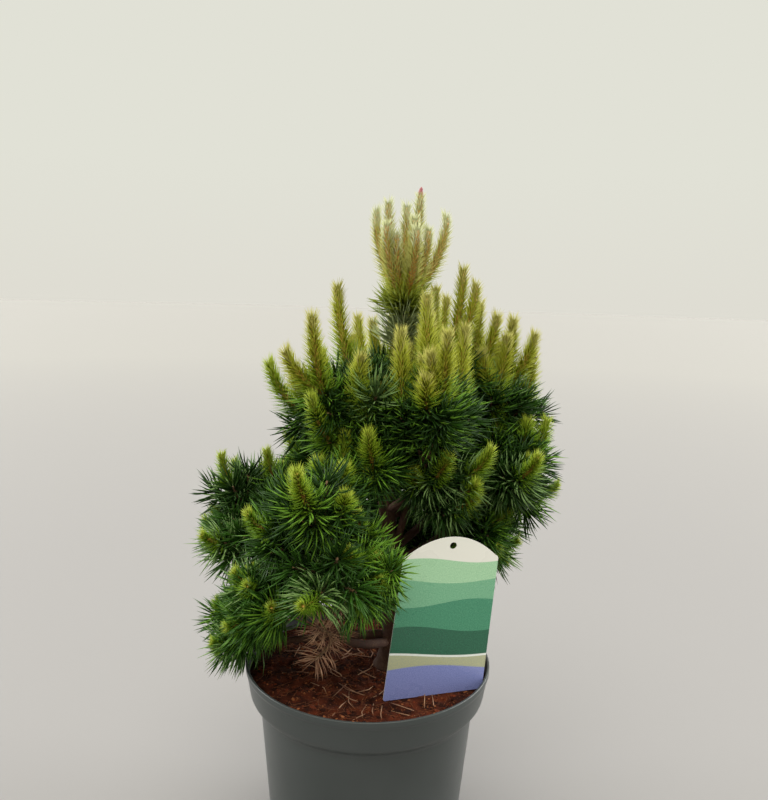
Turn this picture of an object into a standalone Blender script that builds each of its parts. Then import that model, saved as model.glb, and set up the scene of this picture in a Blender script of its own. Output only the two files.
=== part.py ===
"""A dwarf mountain pine, about 0.7 m tall, in its round plastic nursery pot.

Metres, +Z up. The origin is the centre of the pot's flat underside.
The trunk stands in the potting soil, the boughs leave it at their own heights, and each
bough carries one mass of foliage: a stem, the twigs that fan out of it, sprays of needles
round the twigs, and the young upright shoots, called candles, on the twigs' ends.
"""

import math
import random

import bmesh
import bpy
from mathutils import Matrix, Vector

# Clearance that neighbouring solids keep
GAP = 0.0003

# Pot: outer radii and heights, from the rim down to the underside
POT_HEIGHT = 0.212
POT_RIM_RADIUS = 0.130
POT_COLLAR_RADIUS = 0.1245
POT_COLLAR_Z = 0.178
POT_SHOULDER_RADIUS = 0.1145
POT_SHOULDER_Z = 0.170
POT_FOOT_RADIUS = 0.0995
POT_UNDERSIDE_RADIUS = 0.0975
POT_FOOT_Z = 0.004
POT_WALL = 0.002
POT_FLOOR = 0.0025
POT_LIP_HEIGHT = 0.006
POT_LIP_EDGE = 0.0015
POT_LIP_ROUND = 0.0005
POT_SIDES = 36
DRAIN_HOLES = 8
DRAIN_RADIUS = 0.006
DRAIN_CIRCLE_RADIUS = 0.078
DRAIN_SIDES = 8

# Soil: its level, and the lower level of its edge along the pot's wall
SOIL_Z = 0.200
SOIL_EDGE_Z = 0.197
SOIL_FLAT_RADIUS = 0.110

# Trunk: foot, tip and the radii between them, by height above the soil
TRUNK_FOOT_X = 0.021
TRUNK_TIP_X = 0.023
TRUNK_TIP_Z = 0.520
TRUNK_SWAY_X = 0.004
TRUNK_SWAY_Y = 0.003
TRUNK_HALF_WAVES_X = 2.6
TRUNK_HALF_WAVES_Y = 1.7
TRUNK_RADII = [(0.0, 0.0165), (0.006, 0.0132), (0.016, 0.0115), (0.150, 0.0082), (0.320, 0.0038)]
TRUNK_RINGS = 10
TRUNK_SIDES = 12

# Boughs: their radii, and the share of their reach and rise where the sweep bends
BOUGH_FOOT_RADIUS = 0.0052
BOUGH_TIP_RADIUS = 0.0032
BOUGH_BEND_OUT = 0.6
BOUGH_BEND_UP = 0.25
BOUGH_RINGS = 5
BOUGH_SIDES = 6

# Twigs: the mass's stem, and how far a side twig may stray from its row's values
STEM_LENGTH = 0.009
STEM_OVERRUN = 0.001
STEM_SIDES = 6
TWIG_FOOT_RADIUS = 0.0024
TWIG_FAN_SPREAD = (0.9, 1.1)
TWIG_ROLL_SPREAD = (-8, 8)
TWIG_LENGTH_SPREAD = (0.78, 0.92)

# Candles: their length, their number on a whorl and how far they turn up, by height
CANDLE_LENGTH = [(0.25, 0.014), (0.32, 0.018), (0.36, 0.027), (0.44, 0.038), (0.50, 0.073),
                 (0.585, 0.124)]
CANDLE_COUNT = [(0.25, 1.0), (0.42, 1.0), (0.50, 1.6), (0.55, 2.2), (0.585, 6.0)]
CANDLE_LIFT = [(0.25, 0.15), (0.36, 0.4), (0.42, 1.0), (0.50, 1.8), (0.585, 4.0)]
CANDLE_RADIUS = 0.0062
CANDLE_TIP_RADIUS = 0.0028
CANDLE_WIDEST = 0.020
CANDLE_WIDEST_SHARE = 0.3
CANDLE_SIDES = 3
CANDLE_LEAN = 7
CANDLE_LENGTH_SPREAD = (0.85, 1.05)
CANDLE_COUNT_SPREAD = (-0.5, 0.5)
GOLDEN_ANGLE = 137.5
SIDE_CANDLE_FAN = (13, 27)
SIDE_CANDLE_ROLL_SPREAD = (-15, 15)
SIDE_CANDLE_SHARE = (0.65, 0.92)

# Sprays of needles: pairs of rings round the twig, with every other point of a ring
# pulled out and forward to the tip of a needle
NEEDLE_REACH = 0.031
NEEDLE_FORWARD = 0.015
NEEDLE_TIP_RADIUS = 0.0006
NEEDLE_SHORTENED = 0.65
RING_SIDES = 4
RING_RADIUS = 0.0034
RING_STEP = 0.0035
SPRAYS = 2
SPRAY_LENGTH = 0.0125
SPRAY_TWIST = math.radians(45)

# Faces that meet at less than this angle are one flat face again after a union
FLAT_ANGLE = math.radians(0.2)

# Space that each mass keeps to itself
CLEAR = 0.0010
BEAD_SPACING = 0.003
CELL_SIZE = 0.02

# Spaces of the crown that stay open, each with its low and high corner: in front of the
# trunk, where it shows between the boughs, and in front of the leader's foot
OPEN_SPACES = [((-0.003, -0.200, 0.365), (0.040, -0.020, 0.425)),
               ((-0.015, -0.120, 0.545), (0.015, -0.020, 0.640))]

# The masses, from the top down: the height where the bough leaves the trunk, its azimuth
# (0 is +X, 90 is the back), how far out and how high its fork is, the elevation that the
# foliage aims at, the number of side twigs, the twigs' length, fan angle and roll
MASS_COLUMNS = ("name", "start", "azimuth", "reach", "fork", "aim", "sides", "length", "fan", "roll")
MASSES = [
    ("leader", 0.520, 90, 0.000, 0.520, 90, 0, 0.060, 0, 0),
    ("upper_left", 0.385, 226, 0.028, 0.461, 33, 4, 0.080, 39, 163),
    ("upper_back_left", 0.406, 107, 0.049, 0.449, 47, 3, 0.076, 48, 183),
    ("upper_right", 0.405, 8, 0.057, 0.465, 90, 3, 0.066, 29, 355),
    ("upper_back", 0.388, 63, 0.062, 0.441, 62, 3, 0.080, 42, 10),
    ("upper_front", 0.375, 301, 0.064, 0.438, 90, 4, 0.074, 25, 251),
    ("right_high", 0.367, 12, 0.101, 0.434, 72, 3, 0.071, 21, 46),
    ("front_high", 0.338, 249, 0.036, 0.416, 60, 3, 0.068, 38, 2),
    ("front_right", 0.330, 324, 0.022, 0.399, 20, 4, 0.071, 29, 194),
    ("right", 0.316, 359, 0.099, 0.403, 37, 4, 0.057, 50, 89),
    ("back_right", 0.330, 38, 0.085, 0.392, 40, 4, 0.078, 44, 38),
    ("back", 0.353, 88, 0.080, 0.400, 42, 4, 0.076, 44, 340),
    ("back_left", 0.333, 128, 0.084, 0.379, 39, 4, 0.078, 43, 0),
    ("left_high", 0.320, 158, 0.118, 0.333, 38, 4, 0.078, 43, 304),
    ("left", 0.300, 174, 0.131, 0.329, 53, 4, 0.079, 54, 114),
    ("front_left", 0.310, 245, 0.113, 0.363, 43, 4, 0.087, 53, 259),
    ("left_low", 0.270, 206, 0.119, 0.279, 41, 4, 0.055, 48, 1),
    ("front", 0.281, 255, 0.063, 0.322, 29, 4, 0.089, 22, 267),
    ("front_low", 0.250, 318, 0.042, 0.290, 25, 3, 0.045, 46, 7),
    ("right_low", 0.284, 12, 0.057, 0.333, 24, 4, 0.070, 31, 295),
    ("back_right_low", 0.272, 58, 0.066, 0.288, 24, 4, 0.056, 46, 117),
    ("back_low", 0.258, 98, 0.088, 0.300, 14, 4, 0.068, 48, 77),
    ("back_left_low", 0.246, 143, 0.098, 0.296, 14, 4, 0.070, 48, 0),
    ("left_lowest", 0.235, 182, 0.121, 0.225, 33, 3, 0.066, 33, 333),
]
DEAD_MASS = ("dead", 0.228, 234, 0.092, 0.268, 35, 2, 0.036, 60, 100)

# Label: a thin plastic card that stands in the soil, at the front right
LABEL_WIDTH = 0.1055
LABEL_SHOULDER = 0.152
LABEL_TOP = 0.1727
LABEL_TAPER = 0.935
LABEL_THICKNESS = 0.0009
LABEL_HOLE_RADIUS = 0.0035
LABEL_HOLE_BELOW_TOP = 0.009
LABEL_CORNER = (0.0165, -0.0730)
LABEL_YAW = 16.5
LABEL_LEAN = -5.0
LABEL_TILT = -3.3
LABEL_ARCH_POINTS = 9
LABEL_HOLE_SIDES = 10

PLANT = bpy.data.collections.new("potted_mountain_pine")
CUTTERS = bpy.data.collections.new("cutters")


def clear_scene():
    for obj in list(bpy.data.objects):
        bpy.data.objects.remove(obj, do_unlink=True)
    bpy.context.scene.collection.children.link(PLANT)
    bpy.context.scene.collection.children.link(CUTTERS)


def material(name, colour, roughness):
    """A Principled BSDF of one linear colour."""
    made = bpy.data.materials.new(name)
    made.use_nodes = True
    shader = made.node_tree.nodes["Principled BSDF"]
    shader.inputs["Base Color"].default_value = (*colour, 1)
    shader.inputs["Roughness"].default_value = roughness
    shader.inputs["Metallic"].default_value = 0
    return made


def add_object(name, mesh, collection, finish=None):
    made = bpy.data.objects.new(name, mesh)
    collection.objects.link(made)
    if finish:
        mesh.materials.clear()
        mesh.materials.append(finish)
    return made


def mesh_object(name, bm, collection, finish=None):
    mesh = bpy.data.meshes.new(name)
    bmesh.ops.recalc_face_normals(bm, faces=bm.faces)
    bm.to_mesh(mesh)
    bm.free()
    return add_object(name, mesh, collection, finish)


def made_mesh(source, name, collection, finish=None):
    """A plain mesh object of what the source evaluates to, in the source's place."""
    bpy.context.view_layer.update()
    seen = source.evaluated_get(bpy.context.evaluated_depsgraph_get())
    mesh = bpy.data.meshes.new_from_object(seen)
    bm = bmesh.new()
    bm.from_mesh(mesh)
    bmesh.ops.remove_doubles(bm, verts=bm.verts, dist=1e-6)
    bm.to_mesh(mesh)
    bm.free()
    place = source.matrix_world.copy()
    bpy.data.objects.remove(source, do_unlink=True)
    made = add_object(name, mesh, collection, finish)
    made.matrix_world = place
    return made


def as_cutter(obj):
    obj.hide_render = True
    obj.display_type = "WIRE"
    return obj


def boolean(obj, operation, **operand):
    cut = obj.modifiers.new(operation.lower(), "BOOLEAN")
    cut.operation = operation
    cut.solver = "EXACT"
    for key, value in operand.items():
        setattr(cut, key, value)
    return cut


def turned_shape(name, profile, sides, finish):
    """A profile of (radius, height) points turned once round Z; both its ends lie on the axis."""
    bm = bmesh.new()
    points = [bm.verts.new((radius, 0, z)) for radius, z in profile]
    for lower, upper in zip(points, points[1:]):
        bm.edges.new((lower, upper))
    mesh = bpy.data.meshes.new(name)
    bm.to_mesh(mesh)
    bm.free()
    made = add_object(name, mesh, PLANT, finish)
    screw = made.modifiers.new("turn", "SCREW")
    screw.steps = sides
    screw.render_steps = sides
    screw.use_merge_vertices = True
    screw.merge_threshold = 0.00001
    screw.use_smooth_shade = True
    return made


def tube(name, points, radii, collection, finish=None, sides=BOUGH_SIDES):
    """A tapering limb along the points, made a mesh with closed ends."""
    curve = bpy.data.curves.new(name, "CURVE")
    curve.dimensions = "3D"
    curve.bevel_depth = 1.0
    curve.bevel_resolution = sides // 2 - 2
    curve.use_fill_caps = True
    spline = curve.splines.new("POLY")
    spline.points.add(len(points) - 1)
    for point, place, radius in zip(spline.points, points, radii):
        point.co = (*place, 1)
        point.radius = radius
    guide = bpy.data.objects.new(name, curve)
    collection.objects.link(guide)
    made = made_mesh(guide, name, collection, finish)
    made.data.shade_smooth()
    made.data.set_sharp_from_angle(angle=math.radians(50))
    return made


def by_height(table, z):
    """The table's value at this height, in straight lines between its rows."""
    if z <= table[0][0]:
        return table[0][1]
    for (low, first), (high, last) in zip(table, table[1:]):
        if z <= high:
            return first + (last - first) * (z - low) / (high - low)
    return table[-1][1]


def toward(azimuth, elevation):
    flat = math.cos(math.radians(elevation))
    turn = math.radians(azimuth)
    return Vector((math.cos(turn) * flat, math.sin(turn) * flat, math.sin(math.radians(elevation))))


def turned(axis, fan, roll):
    """The axis leant over by the fan angle, towards the roll angle."""
    side = axis.cross(Vector((0, 0, 1)))
    if side.length < 1e-3:
        side = Vector((1, 0, 0))
    side.normalize()
    up = side.cross(axis)
    lean = side * math.cos(math.radians(roll)) + up * math.sin(math.radians(roll))
    return axis * math.cos(math.radians(fan)) + lean * math.sin(math.radians(fan))


def trunk_at(z):
    """The trunk's centre at a height: a slight sway about a line from foot to tip."""
    part = (z - SOIL_Z) / (TRUNK_TIP_Z - SOIL_Z)
    line = TRUNK_FOOT_X + (TRUNK_TIP_X - TRUNK_FOOT_X) * part
    x = line + TRUNK_SWAY_X * math.sin(TRUNK_HALF_WAVES_X * math.pi * part)
    y = TRUNK_SWAY_Y * math.sin(TRUNK_HALF_WAVES_Y * math.pi * part)
    return Vector((x, y, z))


def trunk_rings(extra=0.0):
    """The trunk's centres and radii, with its flat foot level."""
    rise = TRUNK_TIP_Z - SOIL_Z - GAP
    heights = [0, TRUNK_RADII[1][0], TRUNK_RADII[2][0]]
    straight = TRUNK_RINGS - len(heights)
    step = (rise - heights[-1]) / straight
    heights += [heights[2] + step * k for k in range(1, straight + 1)]
    centres = [trunk_at(SOIL_Z + GAP + height) for height in heights]
    centres[1].xy = centres[0].xy
    return centres, [by_height(TRUNK_RADII, height) + extra for height in heights]


def hub(row):
    """Where the mass's twigs fan out."""
    if row["reach"] == 0:
        return trunk_at(TRUNK_TIP_Z) + Vector((0, 0, STEM_LENGTH))
    foot = trunk_at(row["start"])
    out = toward(row["azimuth"], 0) * row["reach"]
    return Vector((foot.x + out.x, foot.y + out.y, row["fork"]))


def bough_at(row, part):
    """A point on the bough's sweep: out from the trunk first, then up to the hub."""
    foot = trunk_at(row["start"])
    end = hub(row)
    bend = foot + toward(row["azimuth"], 0) * row["reach"] * BOUGH_BEND_OUT
    bend.z += (end.z - foot.z) * BOUGH_BEND_UP
    return foot * (1 - part) ** 2 + bend * 2 * part * (1 - part) + end * part ** 2


def bough_end(row):
    """The share of the sweep that is bough; the mass's own stem is the rest."""
    step = 0.02
    pace = (bough_at(row, 1) - bough_at(row, 1 - step)).length / step
    return 1 - STEM_LENGTH / pace


def grow(row):
    """The twigs of one mass, each from the hub to its whorl, with the candles that stand there."""
    rng = random.Random(row["name"])
    buds = random.Random(row["name"] + " candles")
    root = hub(row)
    aim = toward(row["azimuth"], row["aim"])
    twigs = []
    for k in range(row["sides"] + 1):
        way = aim
        length = row["length"]
        if k > 0:
            fan = row["fan"] * rng.uniform(*TWIG_FAN_SPREAD)
            roll = row["roll"] + 360 * (k - 1) / row["sides"] + rng.uniform(*TWIG_ROLL_SPREAD)
            way = turned(aim, fan, roll)
            length *= rng.uniform(*TWIG_LENGTH_SPREAD)
        whorl = root + way * length
        tall = by_height(CANDLE_LENGTH, whorl.z) * buds.uniform(*CANDLE_LENGTH_SPREAD)
        count = max(1, round(by_height(CANDLE_COUNT, whorl.z) + buds.uniform(*CANDLE_COUNT_SPREAD)))
        upright = (way + Vector((0, 0, by_height(CANDLE_LIFT, whorl.z)))).normalized()
        tips = [whorl + turned(upright, CANDLE_LEAN, row["roll"] + GOLDEN_ANGLE * k) * tall]
        first = buds.uniform(0, 360)
        for j in range(count - 1):
            fan = buds.uniform(*SIDE_CANDLE_FAN)
            roll = first + 360 * j / (count - 1) + buds.uniform(*SIDE_CANDLE_ROLL_SPREAD)
            tips.append(whorl + turned(upright, fan, roll) * tall * buds.uniform(*SIDE_CANDLE_SHARE))
        twigs.append({"root": root, "whorl": whorl, "way": way, "tips": tips})
    return twigs


class Space:
    """What is taken: each limb, twig, candle and needle as a row of round beads with its owner."""

    def __init__(self):
        self.cells = {}
        self.from_label = label_frame().inverted()

    def cell(self, place):
        return tuple(math.floor(value / CELL_SIZE) for value in place)

    def beads(self, start, end, radius, end_radius):
        count = max(1, math.ceil((end - start).length / BEAD_SPACING))
        for k in range(count + 1):
            part = k / count
            yield start.lerp(end, part), radius + (end_radius - radius) * part

    def take(self, start, end, radius, end_radius, mass, twig=None):
        for place, size in self.beads(start, end, radius, end_radius):
            self.cells.setdefault(self.cell(place), []).append((place, size, mass, twig))

    def near(self, place):
        x, y, z = self.cell(place)
        for i in (-1, 0, 1):
            for j in (-1, 0, 1):
                for k in (-1, 0, 1):
                    yield from self.cells.get((x + i, y + j, z + k), ())

    def free(self, start, end, radius, end_radius, mass, twig=None):
        """Whether a piece lies clear of the pot, the label and all that others own. A twig may
        touch its own mass, where it is fused; a needle may only touch its own twig."""
        for place, size in self.beads(start, end, radius, end_radius):
            if in_pot(place, size) or in_label(self.from_label @ place, size):
                return False
            for other, other_size, other_mass, other_twig in self.near(place):
                if other_mass == mass and twig in (None, other_twig):
                    continue
                if (other - place).length < size + other_size + CLEAR:
                    return False
        return True


def in_pot(place, size):
    """Whether a bead reaches the soil or the pot's wall and rim."""
    out = math.hypot(place.x, place.y)
    if place.z - size > POT_HEIGHT + CLEAR:
        return False
    if out - size > POT_RIM_RADIUS + CLEAR:
        return False
    on_soil = place.z - size > SOIL_Z + CLEAR
    return not (on_soil and out + size < POT_RIM_RADIUS - 2 * POT_WALL - CLEAR)


def label_frame():
    """The label's place: its lower left corner, along its foot and up its face."""
    turn = Matrix.Rotation(math.radians(LABEL_YAW), 4, "Z")
    lean = Matrix.Rotation(math.radians(90 - LABEL_LEAN), 4, "X")
    tilt = Matrix.Rotation(math.radians(LABEL_TILT), 4, "Z")
    return Matrix.Translation((*LABEL_CORNER, SOIL_Z + GAP + LABEL_THICKNESS / 2)) @ turn @ lean @ tilt


def in_label(local, size):
    """Whether a bead reaches the label; its place is given in the label's own frame."""
    reach = size + CLEAR
    across = -reach < local.x < LABEL_WIDTH + reach
    along = -reach < local.y < LABEL_TOP + reach
    return across and along and abs(local.z) < reach + LABEL_THICKNESS / 2


def make_pot(finish):
    inner_rim = POT_RIM_RADIUS - POT_WALL - POT_LIP_ROUND
    under_lip = POT_HEIGHT - POT_LIP_HEIGHT
    profile = [
        (0, POT_FLOOR),
        (POT_FOOT_RADIUS - POT_WALL, POT_FLOOR),
        (POT_SHOULDER_RADIUS - POT_WALL, POT_SHOULDER_Z),
        (POT_COLLAR_RADIUS - POT_WALL, POT_COLLAR_Z + POT_WALL),
        (inner_rim, under_lip),
        (inner_rim, POT_HEIGHT),
        (POT_RIM_RADIUS - POT_LIP_ROUND, POT_HEIGHT),
        (POT_RIM_RADIUS, POT_HEIGHT - POT_LIP_EDGE),
        (POT_RIM_RADIUS - POT_LIP_ROUND, under_lip),
        (POT_RIM_RADIUS - POT_LIP_EDGE, under_lip - POT_WALL),
        (POT_COLLAR_RADIUS, POT_COLLAR_Z),
        (POT_SHOULDER_RADIUS, POT_SHOULDER_Z),
        (POT_FOOT_RADIUS, POT_FOOT_Z),
        (POT_UNDERSIDE_RADIUS, 0),
        (0, 0),
    ]
    pot = turned_shape("pot", profile, POT_SIDES, finish)
    for k in range(DRAIN_HOLES):
        spin = math.radians(360 * k / DRAIN_HOLES)
        bm = bmesh.new()
        bmesh.ops.create_cone(bm, cap_ends=True, segments=DRAIN_SIDES, radius1=DRAIN_RADIUS,
                              radius2=DRAIN_RADIUS, depth=POT_FLOOR * 4)
        drill = as_cutter(mesh_object(f"drain_{k + 1}", bm, CUTTERS))
        drill.location.x = DRAIN_CIRCLE_RADIUS * math.cos(spin)
        drill.location.y = DRAIN_CIRCLE_RADIUS * math.sin(spin)
        drill.location.z = POT_FLOOR / 2
        boolean(pot, "DIFFERENCE", object=drill)


def make_soil(finish):
    collar_z = POT_COLLAR_Z + POT_WALL
    collar = POT_COLLAR_RADIUS - POT_WALL - GAP
    top = POT_RIM_RADIUS - POT_WALL - POT_LIP_ROUND - GAP
    edge_share = (SOIL_EDGE_Z - collar_z) / (POT_HEIGHT - POT_LIP_HEIGHT - collar_z)
    profile = [
        (0, SOIL_Z),
        (SOIL_FLAT_RADIUS, SOIL_Z),
        (collar + (top - collar) * edge_share, SOIL_EDGE_Z),
        (collar, collar_z + GAP),
        (POT_SHOULDER_RADIUS - POT_WALL - GAP, POT_SHOULDER_Z + GAP),
        (POT_FOOT_RADIUS - POT_WALL - GAP, POT_FLOOR + GAP),
        (0, POT_FLOOR + GAP),
    ]
    turned_shape("soil", profile, POT_SIDES, finish)


def make_limbs(rows, bark, space):
    centres, radii = trunk_rings()
    tube("trunk", centres, radii, PLANT, bark, sides=TRUNK_SIDES)
    for start, end, radius, end_radius in zip(centres, centres[1:], radii, radii[1:]):
        space.take(start, end, radius, end_radius, "trunk")
    centres, radii = trunk_rings(extra=GAP * 1.5)
    trunk_room = as_cutter(tube("trunk_room", centres, radii, CUTTERS, sides=TRUNK_SIDES))
    for row in rows:
        if row["reach"] == 0:
            continue
        end = bough_end(row)
        parts = [end * k / (BOUGH_RINGS - 1) for k in range(BOUGH_RINGS)]
        points = [bough_at(row, part) for part in parts]
        radii = [BOUGH_FOOT_RADIUS + (BOUGH_TIP_RADIUS - BOUGH_FOOT_RADIUS) * part / end for part in parts]
        bough = tube("bough_" + row["name"], points, radii, PLANT, bark)
        boolean(bough, "DIFFERENCE", object=trunk_room)
        for start, stop, radius, stop_radius in zip(points, points[1:], radii, radii[1:]):
            space.take(start, stop, radius, stop_radius, bough.name)


def rod(start, end, foot_radius, tip_radius, sides, name, collection):
    """A tapering straight piece between two points."""
    way = end - start
    bm = bmesh.new()
    bmesh.ops.create_cone(bm, cap_ends=True, segments=sides, radius1=foot_radius, radius2=tip_radius,
                          depth=way.length)
    turn = way.to_track_quat("Z", "Y").to_matrix().to_4x4()
    bm.transform(Matrix.Translation((start + end) / 2) @ turn)
    return mesh_object(name, bm, collection)


def ring(centre, axis, across, radii, spin=0.0, forward=None):
    """The points of one ring round an axis; each may stand out and forward by its own amount."""
    beside = axis.cross(across)
    points = []
    for k, radius in enumerate(radii):
        turn = 2 * math.pi * k / RING_SIDES + spin
        out = across * math.cos(turn) + beside * math.sin(turn)
        points.append(centre + out * radius + axis * (forward[k] if forward else 0))
    return points


def needle_ring(centre, axis, across, spin, odd, mass, twig, space):
    """A ring whose odd or even points reach out as needles, where there is room for them."""
    radii = [RING_RADIUS] * RING_SIDES
    forward = [0.0] * RING_SIDES
    plain = ring(centre, axis, across, radii, spin)
    for k in range(odd, RING_SIDES, 2):
        out = (plain[k] - centre).normalized()
        for share in (1.0, NEEDLE_SHORTENED):
            tip = centre + (out * NEEDLE_REACH + axis * NEEDLE_FORWARD) * share
            if space.free(centre, tip, RING_STEP, NEEDLE_TIP_RADIUS, mass, twig):
                space.take(centre, tip, RING_STEP, NEEDLE_TIP_RADIUS, mass, twig)
                radii[k] = NEEDLE_REACH * share
                forward[k] = NEEDLE_FORWARD * share
                break
    return ring(centre, axis, across, radii, spin, forward)


def loft(rings, name, collection):
    """A closed body whose skin runs through the rings, with flat ends. Each four-sided face
    is split along its shorter diagonal, so that no web joins two needles."""
    bm = bmesh.new()
    rows = [[bm.verts.new(point) for point in points] for points in rings]
    for lower, upper in zip(rows, rows[1:]):
        for k in range(len(lower)):
            after = (k + 1) % len(lower)
            bm.faces.new((lower[k], lower[after], upper[after], upper[k]))
    bm.faces.new(rows[0][::-1])
    bm.faces.new(rows[-1])
    bmesh.ops.triangulate(bm, faces=bm.faces, quad_method="SHORT_EDGE")
    return mesh_object(name, bm, collection)


def widest(whorl, tip):
    """The point of a candle where it is widest."""
    return whorl + (tip - whorl) * min(CANDLE_WIDEST_SHARE, CANDLE_WIDEST / (tip - whorl).length)


def toothed_twig(twig, number, mass, space, collection):
    """One twig with its sprays of needles and its main candle."""
    way = twig["way"]
    whorl = twig["whorl"]
    tip = twig["tips"][0]
    upright = (tip - whorl).normalized()
    across = way.cross(upright)
    if across.length < 0.01:
        across = way.orthogonal()
    across.normalize()
    plain = [RING_RADIUS] * RING_SIDES
    rings = [ring(twig["root"], way, across, [TWIG_FOOT_RADIUS] * RING_SIDES)]
    room = (whorl - twig["root"]).length - 2 * TWIG_FOOT_RADIUS
    sprays = max(1, min(SPRAYS, int(room / SPRAY_LENGTH)))
    for j in reversed(range(sprays)):
        spin = j * SPRAY_TWIST
        front = whorl - way * j * SPRAY_LENGTH
        rings.append(ring(front - way * SPRAY_LENGTH, way, across, plain, spin))
        for odd in (1, 0):
            centre = front - way * (1 + odd) * RING_STEP
            rings.append(needle_ring(centre, way, across, spin, odd, mass, number, space))
    rings.append(ring(whorl, way, across, plain))
    if tip in twig["candles"]:
        wide = widest(whorl, tip)
        rings.append(ring(wide, upright, across, [CANDLE_RADIUS] * RING_SIDES))
        rings.append(ring(tip, upright, across, [CANDLE_TIP_RADIUS] * RING_SIDES))
    return loft(rings, "twig", collection)


def is_closed(bm):
    return all(edge.is_manifold for edge in bm.edges)


def islands_of(bm):
    """The mesh's separate skins, as sets of faces."""
    left = set(bm.faces)
    islands = []
    while left:
        start = left.pop()
        island = {start}
        reached = [start]
        while reached:
            for edge in reached.pop().edges:
                for face in edge.link_faces:
                    if face in left:
                        left.remove(face)
                        island.add(face)
                        reached.append(face)
        islands.append(island)
    return islands


def keep_outer_skin(obj):
    """Drops loose scraps and fills sealed hollows, so that only the largest skin stays, and
    makes the flat faces that the union cut up whole again."""
    bm = bmesh.new()
    bm.from_mesh(obj.data)
    islands = sorted(islands_of(bm), key=lambda faces: sum(face.calc_area() for face in faces))
    scraps = [face for island in islands[:-1] for face in island]
    bmesh.ops.delete(bm, geom=scraps, context="FACES")
    bm.to_mesh(obj.data)
    bmesh.ops.dissolve_limit(bm, angle_limit=FLAT_ANGLE, verts=bm.verts, edges=bm.edges)
    bmesh.ops.triangulate(bm, faces=bm.faces)
    if is_closed(bm):
        bm.to_mesh(obj.data)
    bm.free()


def closed_union(stem, pieces):
    """Joins the collection's pieces to the stem with the first solver that gives a closed skin."""
    union = boolean(stem, "UNION", operand_type="COLLECTION", collection=pieces)
    for solver in ("EXACT", "MANIFOLD"):
        union.solver = solver
        bpy.context.view_layer.update()
        seen = stem.evaluated_get(bpy.context.evaluated_depsgraph_get())
        bm = bmesh.new()
        bm.from_mesh(seen.data)
        closed = is_closed(bm)
        bm.free()
        if closed:
            return


def join_mass(stem, pieces, name, finish):
    """One solid of the stem and all the pieces in the collection."""
    closed_union(stem, pieces)
    made = made_mesh(stem, name, PLANT, finish)
    for piece in list(pieces.objects):
        bpy.data.objects.remove(piece, do_unlink=True)
    bpy.data.collections.remove(pieces)
    keep_outer_skin(made)


def stem_ends(row):
    """The two ends of the mass's own stem, which goes on from its bough or from the trunk."""
    start = trunk_at(TRUNK_TIP_Z) if row["reach"] == 0 else bough_at(row, bough_end(row))
    root = hub(row)
    along = (root - start).normalized()
    return start + along * GAP, root + along * STEM_OVERRUN


def stays_open(place):
    """Whether a place lies in one of the crown's open spaces."""
    return any(all(a < x < b for a, x, b in zip(low, place, high)) for low, high in OPEN_SPACES)


def claim_twigs(row, name, space):
    """The mass's twigs that have room, each with those of its candles that have room."""
    space.take(*stem_ends(row), BOUGH_TIP_RADIUS, TWIG_FOOT_RADIUS, name)
    kept = []
    for number, twig in enumerate(grow(row)):
        limb = (twig["root"], twig["whorl"], TWIG_FOOT_RADIUS, RING_RADIUS, name)
        if stays_open(twig["whorl"]) or not space.free(*limb):
            continue
        space.take(*limb, number)
        twig["candles"] = []
        for tip in twig["tips"]:
            wide = widest(twig["whorl"], tip)
            low = (twig["whorl"], wide, CANDLE_RADIUS, CANDLE_RADIUS, name)
            high = (wide, tip, CANDLE_RADIUS, CANDLE_TIP_RADIUS, name)
            if not stays_open(tip) and space.free(*low) and space.free(*high):
                space.take(*low, number)
                space.take(*high, number)
                twig["candles"].append(tip)
        kept.append((number, twig))
    return kept


def make_masses(rows, finish, space):
    """The twigs and candles of all masses claim their room first, and then the needles."""
    grown = [(row, claim_twigs(row, "foliage_" + row["name"], space)) for row in rows]
    for row, twigs in grown:
        name = "foliage_" + row["name"]
        pieces = bpy.data.collections.new(name)
        bpy.context.scene.collection.children.link(pieces)
        for number, twig in twigs:
            toothed_twig(twig, number, name, space, pieces)
            for tip in twig["candles"]:
                if tip != twig["tips"][0]:
                    rod(twig["whorl"], tip, CANDLE_RADIUS, CANDLE_TIP_RADIUS, CANDLE_SIDES, "candle",
                        pieces)
        stem = rod(*stem_ends(row), BOUGH_TIP_RADIUS, TWIG_FOOT_RADIUS, STEM_SIDES, name + "_stem", PLANT)
        join_mass(stem, pieces, name, finish)


def make_label(finish):
    shoulder = LABEL_WIDTH * (1 - LABEL_TAPER) / 2
    foot_rise = -LABEL_WIDTH * math.tan(math.radians(LABEL_TILT))
    outline = [(0, 0), (LABEL_WIDTH, foot_rise)]
    for k in range(LABEL_ARCH_POINTS):
        part = k / (LABEL_ARCH_POINTS - 1)
        x = LABEL_WIDTH - shoulder - (LABEL_WIDTH - 2 * shoulder) * part
        rise = 1 - (2 * part - 1) ** 2
        outline.append((x, LABEL_SHOULDER + (LABEL_TOP - LABEL_SHOULDER) * rise))
    hole = []
    for k in range(LABEL_HOLE_SIDES):
        spin = 2 * math.pi * k / LABEL_HOLE_SIDES
        hole.append((LABEL_WIDTH / 2 + LABEL_HOLE_RADIUS * math.cos(spin),
                     LABEL_TOP - LABEL_HOLE_BELOW_TOP + LABEL_HOLE_RADIUS * math.sin(spin)))
    card = bpy.data.curves.new("plant_label", "CURVE")
    card.dimensions = "2D"
    card.fill_mode = "BOTH"
    card.extrude = LABEL_THICKNESS / 2
    for points in (outline, hole):
        spline = card.splines.new("POLY")
        spline.points.add(len(points) - 1)
        spline.use_cyclic_u = True
        for point, (x, y) in zip(spline.points, points):
            point.co = (x, y, 0, 1)
    guide = bpy.data.objects.new("plant_label", card)
    PLANT.objects.link(guide)
    guide.matrix_world = label_frame()
    made_mesh(guide, "plant_label", PLANT, finish)


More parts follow.
